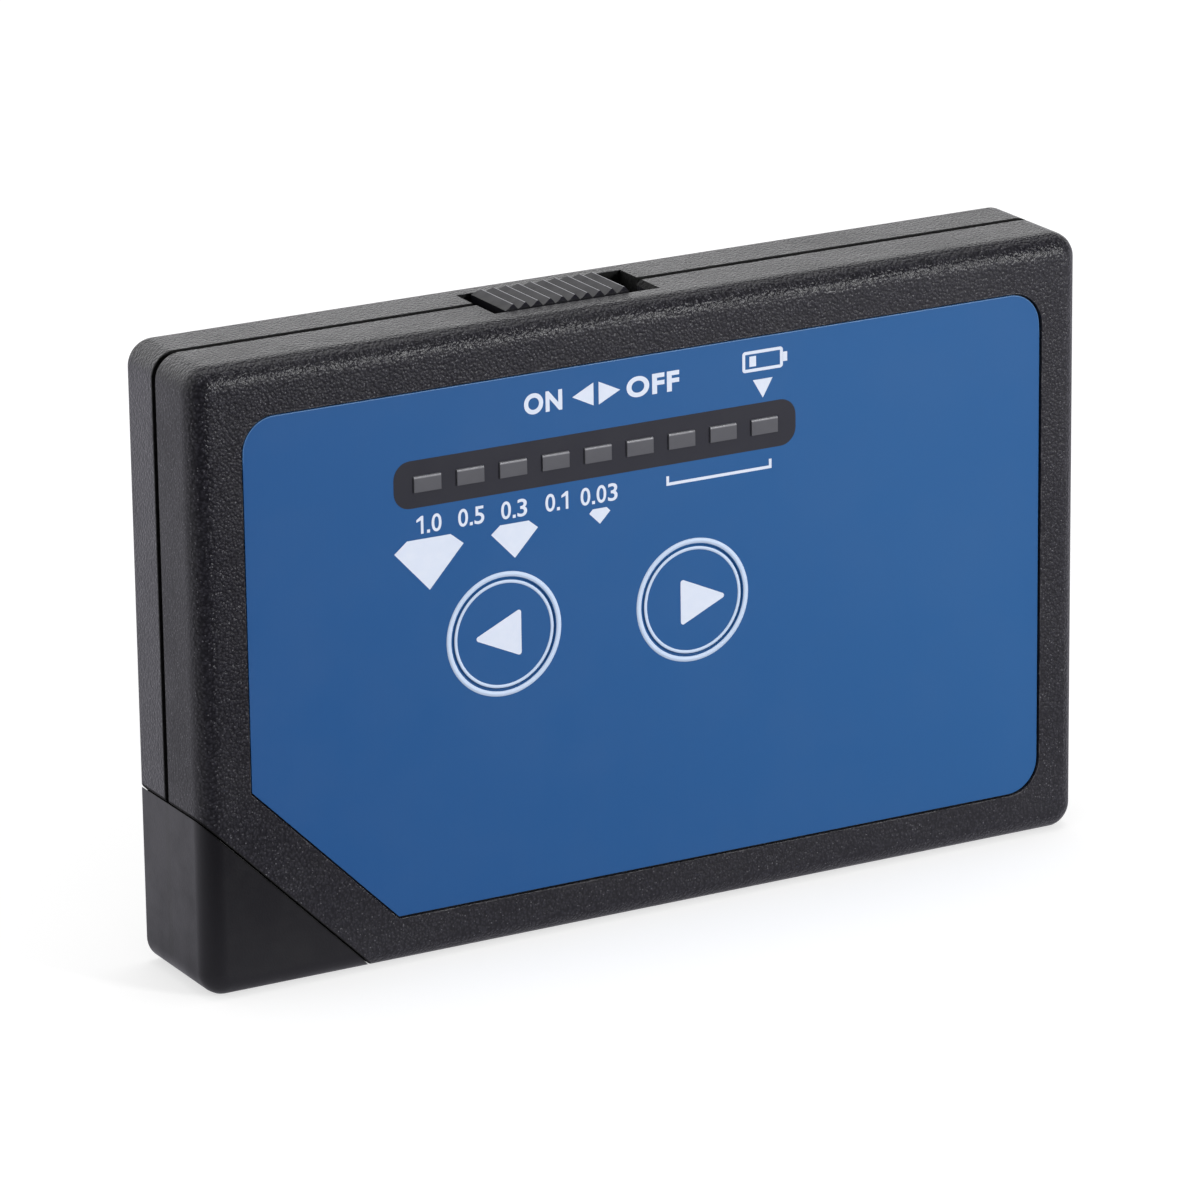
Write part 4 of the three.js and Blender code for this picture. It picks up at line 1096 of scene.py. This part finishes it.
def print_power_labels():
    arrows = [arrow(base, tip, LABEL_Z, ARROW_HALF) for base, tip in (ON_ARROW, OFF_ARROW)]
    labels = [
        lettering("label_on", "ON", ON_SPAN, LABEL_Z, LABEL_HEIGHT, "white_ink", LABEL_WEIGHT),
        lettering("label_off", "OFF", OFF_SPAN, LABEL_Z, LABEL_HEIGHT, "white_ink", LABEL_WEIGHT),
        flat_piece("label_arrows", arrows, "white_ink"),
    ]
    in_place(joined(labels, "power_labels", "white_ink"), "case", "film")


def print_battery_sign():
    """A battery's outline with a low charge, over an arrow that points to the last lamp."""
    x, z = BATTERY_ARROW_X, BATTERY_SIGN_Z
    top, point = BATTERY_ARROW_SPAN
    width, height = BATTERY_SIGN_SIZE
    line = BATTERY_SIGN_LINE
    nub_width, nub_height = BATTERY_SIGN_NUB
    bar_x = x - width / 2 + BATTERY_BAR_INSET
    sign = [
        [(x - BATTERY_ARROW_HALF, top), (x, point), (x + BATTERY_ARROW_HALF, top)],
        rounded_corners(oblong(x, z, width, height), line),
        oblong(x, z, width - 2 * line, height - 2 * line),
        oblong(x + (width + nub_width) / 2 + INK, z, nub_width, nub_height),
        oblong(bar_x, z, *BATTERY_BAR_SIZE),
    ]
    in_place(flat_piece("battery_sign", sign, "white_ink"), "case", "film")


def print_scale():
    """The numbers under the lamps, the gems that shrink with them, and the bracket at the scale's end."""
    marks = [figure for words, x in SCALE_MARKS for figure in numeral(words, x * MM)]
    in_place(joined(marks, "scale_marks", "white_ink"), "case", "film")
    gems = [gem(*[value * MM for value in row]) for row in GEMS]
    in_place(flat_piece("scale_gems", gems, "white_ink"), "case", "film")
    left, right = BRACKET_SPAN
    low = BRACKET_Z - BRACKET_LINE
    high = low + BRACKET_RISE
    bracket = [
        (left, high), (left, low), (right, low), (right, high),
        (right - BRACKET_LINE, high), (right - BRACKET_LINE, low + BRACKET_LINE),
        (left + BRACKET_LINE, low + BRACKET_LINE), (left + BRACKET_LINE, high),
    ]
    in_place(flat_piece("scale_bracket", [bracket], "white_ink"), "case", "film")


def ring_shape(name, radii, paint, thickness):
    sizes = {"Inner Radius": radii[0], "Outer Radius": radii[1], "Ink": thickness, "Sides": RING_SIDES}
    return grown(printed_ring, name, paint, sizes)


def rings_at(shape, name, paint, layer, middles):
    """A copy of a ring about each of some middles, at one depth."""
    return grown(copies, name, paint, {"Shape": shape}, [(k.x, layer, k.z) for k in middles])


def print_keys():
    """The printed rings and arrows of the keys, and the blue web in the gap round each key."""
    keys = {side: middle_of(f"key_{side}") for side in KEY_ARROW_SPANS}
    wide = ring_shape("wide_ring_shape", WIDE_RING, "pale_ink", INK)
    fine = ring_shape("fine_ring_shape", FINE_RING, "pale_ink", INK)
    web = ring_shape("key_web_shape", WEB_RING, "film", WEB_THICKNESS)
    in_place(rings_at(wide, "film_rings", "pale_ink", ink_middle, keys.values()), "case", "film")
    for side, (base, tip) in KEY_ARROW_SPANS.items():
        key = keys[side]
        ring = rings_at(fine, f"ring_{side}", "pale_ink", ink_middle, [key])
        in_place(ring, f"{side}_key", "film")
        corners = arrow(key.x + base, key.x + tip, key.z - KEY_ARROW_DROP, KEY_ARROW_HALF)
        outline = rounded_corners(corners, KEY_ARROW_ROUND)
        in_place(flat_piece(f"arrow_{side}", [outline], "white_ink"), f"{side}_key", "film")
    in_place(rings_at(web, "key_webs", "film", film_face + WEB_SINK, keys.values()), "case", "film")
    for shape in (wide, fine, web):
        bpy.data.objects.remove(shape)


def dress_battery():
    """The cell, its plate contact, and its spring contact: a coil of wire on a plate like the other's."""
    dress("battery", "battery_cell", (BATTERY_EDGE, any_place))
    dress("battery_plate_contact", "plate_contact", (CONTACT_EDGE, any_place))
    low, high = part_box("battery_spring_contact")
    coil = grown(wire_coil, "contact_coil", "steel", {
        "Turns": COIL_TURNS, "Start Radius": COIL_HEAD, "End Radius": COIL_TAIL,
        "Length": high.x - low.x - WIRE_RADIUS * COIL_ENDS, "Wire Radius": WIRE_RADIUS,
        "Steps": COIL_STEPS, "Wire Sides": WIRE_SIDES,
    })
    middle = middle_of("battery_spring_contact")
    moved(coil, (low.x + WIRE_RADIUS, middle.y, middle.z))
    plate_mesh = merged("battery_plate_contact")
    round_edges(plate_mesh, CONTACT_EDGE, any_place)
    plate = new_piece("contact_plate", as_data(plate_mesh, "contact_plate"), "steel")
    moved(plate, (high.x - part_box("battery_plate_contact")[1].x, 0, 0))
    in_place(joined([coil, plate], "spring_contact", "steel"), "case", "steel", "battery_spring_contact")


def dress_probe():
    dress("probe_collar", "probe_nose", (COLLAR_EDGE, any_place))
    dress("probe_sleeve", "probe_tube", (PROBE_EDGE, any_place))
    dress("probe_tip", "probe_point", (PROBE_EDGE, any_place))


def paint_plain_pieces():
    """Each CAD node in its slot's own material."""
    for node, piece in frame["nodes"].items():
        piece.data.materials.clear()
        piece.data.materials.append(paints[slot_of[node]])


# The studio

def stand_floor():
    """Pale paper: seen nearly white with the tester's shadow, and with its own shades in reflections."""
    corners = [(x * FLOOR_HALF, y * FLOOR_HALF, 0) for x, y in ((-1, -1), (1, -1), (1, 1), (-1, 1))]
    mesh = bpy.data.meshes.new("floor")
    mesh.from_pydata(corners, [], [(0, 1, 2, 3)])
    floor = bpy.data.objects.new("floor", mesh)
    floor.location.z = -FLOOR_SINK
    bpy.context.scene.collection.objects.link(floor)
    paper = bpy.data.materials.new("studio_paper")
    paper.use_nodes = True
    tree = paper.node_tree
    tree.nodes.clear()
    plain = add(tree, "ShaderNodeBsdfDiffuse", {"Color": FLOOR_COLOUR}).outputs[0]
    across, depth, up = axes_of(tree, on_piece(tree))
    front = spread(tree, across, *FLOOR_SIDES, *FLOOR_FRONT)
    back = spread(tree, depth, *FLOOR_DEPTH, *FLOOR_BACK)
    mirrored = spread(tree, depth, *FLOOR_TURN, front, back)
    shine = add(tree, "ShaderNodeEmission", {"Color": FLOOR_SHINE, "Strength": mirrored}).outputs[0]
    glow = add(tree, "ShaderNodeEmission", {"Color": WHITE, "Strength": FLOOR_GLOW}).outputs[0]
    lit = add(tree, "ShaderNodeBsdfDiffuse", {"Color": FLOOR_SEEN}).outputs[0]
    seen = add(tree, "ShaderNodeAddShader", {0: glow, 1: lit}).outputs[0]
    rays = add(tree, "ShaderNodeLightPath").outputs
    unseen = add(tree, "ShaderNodeMixShader", {0: rays["Is Glossy Ray"], 1: plain, 2: shine}).outputs[0]
    either = add(tree, "ShaderNodeMixShader", {0: rays["Is Camera Ray"], 1: unseen, 2: seen}).outputs[0]
    add(tree, "ShaderNodeOutputMaterial", {"Surface": either})
    mesh.materials.append(paper)


def light_room():
    """White where the camera sees it, a soft light on the tester, and a slope of shade in reflections."""
    world = bpy.data.worlds.new("studio")
    bpy.context.scene.world = world
    world.use_nodes = True
    tree = world.node_tree
    tree.nodes.clear()
    rays = add(tree, "ShaderNodeLightPath").outputs
    towards_back = axes_of(tree, add(tree, "ShaderNodeTexCoord").outputs["Generated"])[1]
    mirrored = spread(tree, towards_back, *ROOM_TURN, *ROOM_GLOSS)
    room = add(tree, "ShaderNodeBackground", {"Color": WHITE, "Strength": ROOM_LIGHT}).outputs[0]
    gloss = add(tree, "ShaderNodeBackground", {"Color": WHITE, "Strength": mirrored}).outputs[0]
    paper = add(tree, "ShaderNodeBackground", {"Color": WHITE, "Strength": 1.0}).outputs[0]
    shiny = add(tree, "ShaderNodeMixShader", {0: rays["Is Glossy Ray"], 1: room, 2: gloss}).outputs[0]
    clear = sums(tree, "MAXIMUM", rays["Is Camera Ray"], rays["Is Transmission Ray"])
    mix = add(tree, "ShaderNodeMixShader", {0: clear, 1: shiny, 2: paper}).outputs[0]
    add(tree, "ShaderNodeOutputWorld", {"Surface": mix})


def hang_softboxes():
    aim = Vector((0, 0, case_top / 2))
    for row in SOFTBOXES:
        lamp = bpy.data.lights.new(row["name"], "AREA")
        lamp.shape = "RECTANGLE"
        lamp.size, lamp.size_y = row["size"]
        lamp.energy = row["power"]
        box = bpy.data.objects.new(row["name"], lamp)
        box.location = row["place"]
        box.rotation_euler = (aim - box.location).to_track_quat("-Z", "Y").to_euler()
        bpy.context.scene.collection.objects.link(box)


def set_camera():
    yaw, pitch = CAMERA_YAW, CAMERA_PITCH
    ahead = Vector((math.sin(yaw) * math.cos(pitch), math.cos(yaw) * math.cos(pitch), -math.sin(pitch)))
    right = Vector((math.cos(yaw), -math.sin(yaw), 0))
    down = ahead.cross(right)
    c, s = math.cos(CAMERA_ROLL), math.sin(CAMERA_ROLL)
    right, down = c * right + s * down, c * down - s * right
    camera = bpy.data.objects.new("camera", bpy.data.cameras.new("camera"))
    camera.data.lens = CAMERA_LENS
    camera.data.sensor_width = CAMERA_FILM
    camera.data.clip_start, camera.data.clip_end = CAMERA_REACH
    turn = Matrix((right, -down, -ahead)).transposed().to_4x4()
    camera.matrix_world = Matrix.Translation(Vector(CAMERA_PLACE)) @ turn
    bpy.context.scene.collection.objects.link(camera)
    bpy.context.scene.camera = camera
    bpy.context.scene.view_settings.view_transform = "Standard"


set_camera()
dress_case()
dress_repeats()
print_strip()
print_power_labels()
print_battery_sign()
print_scale()
print_keys()
dress_battery()
dress_probe()
paint_plain_pieces()
stand_floor()
light_room()
hang_softboxes()
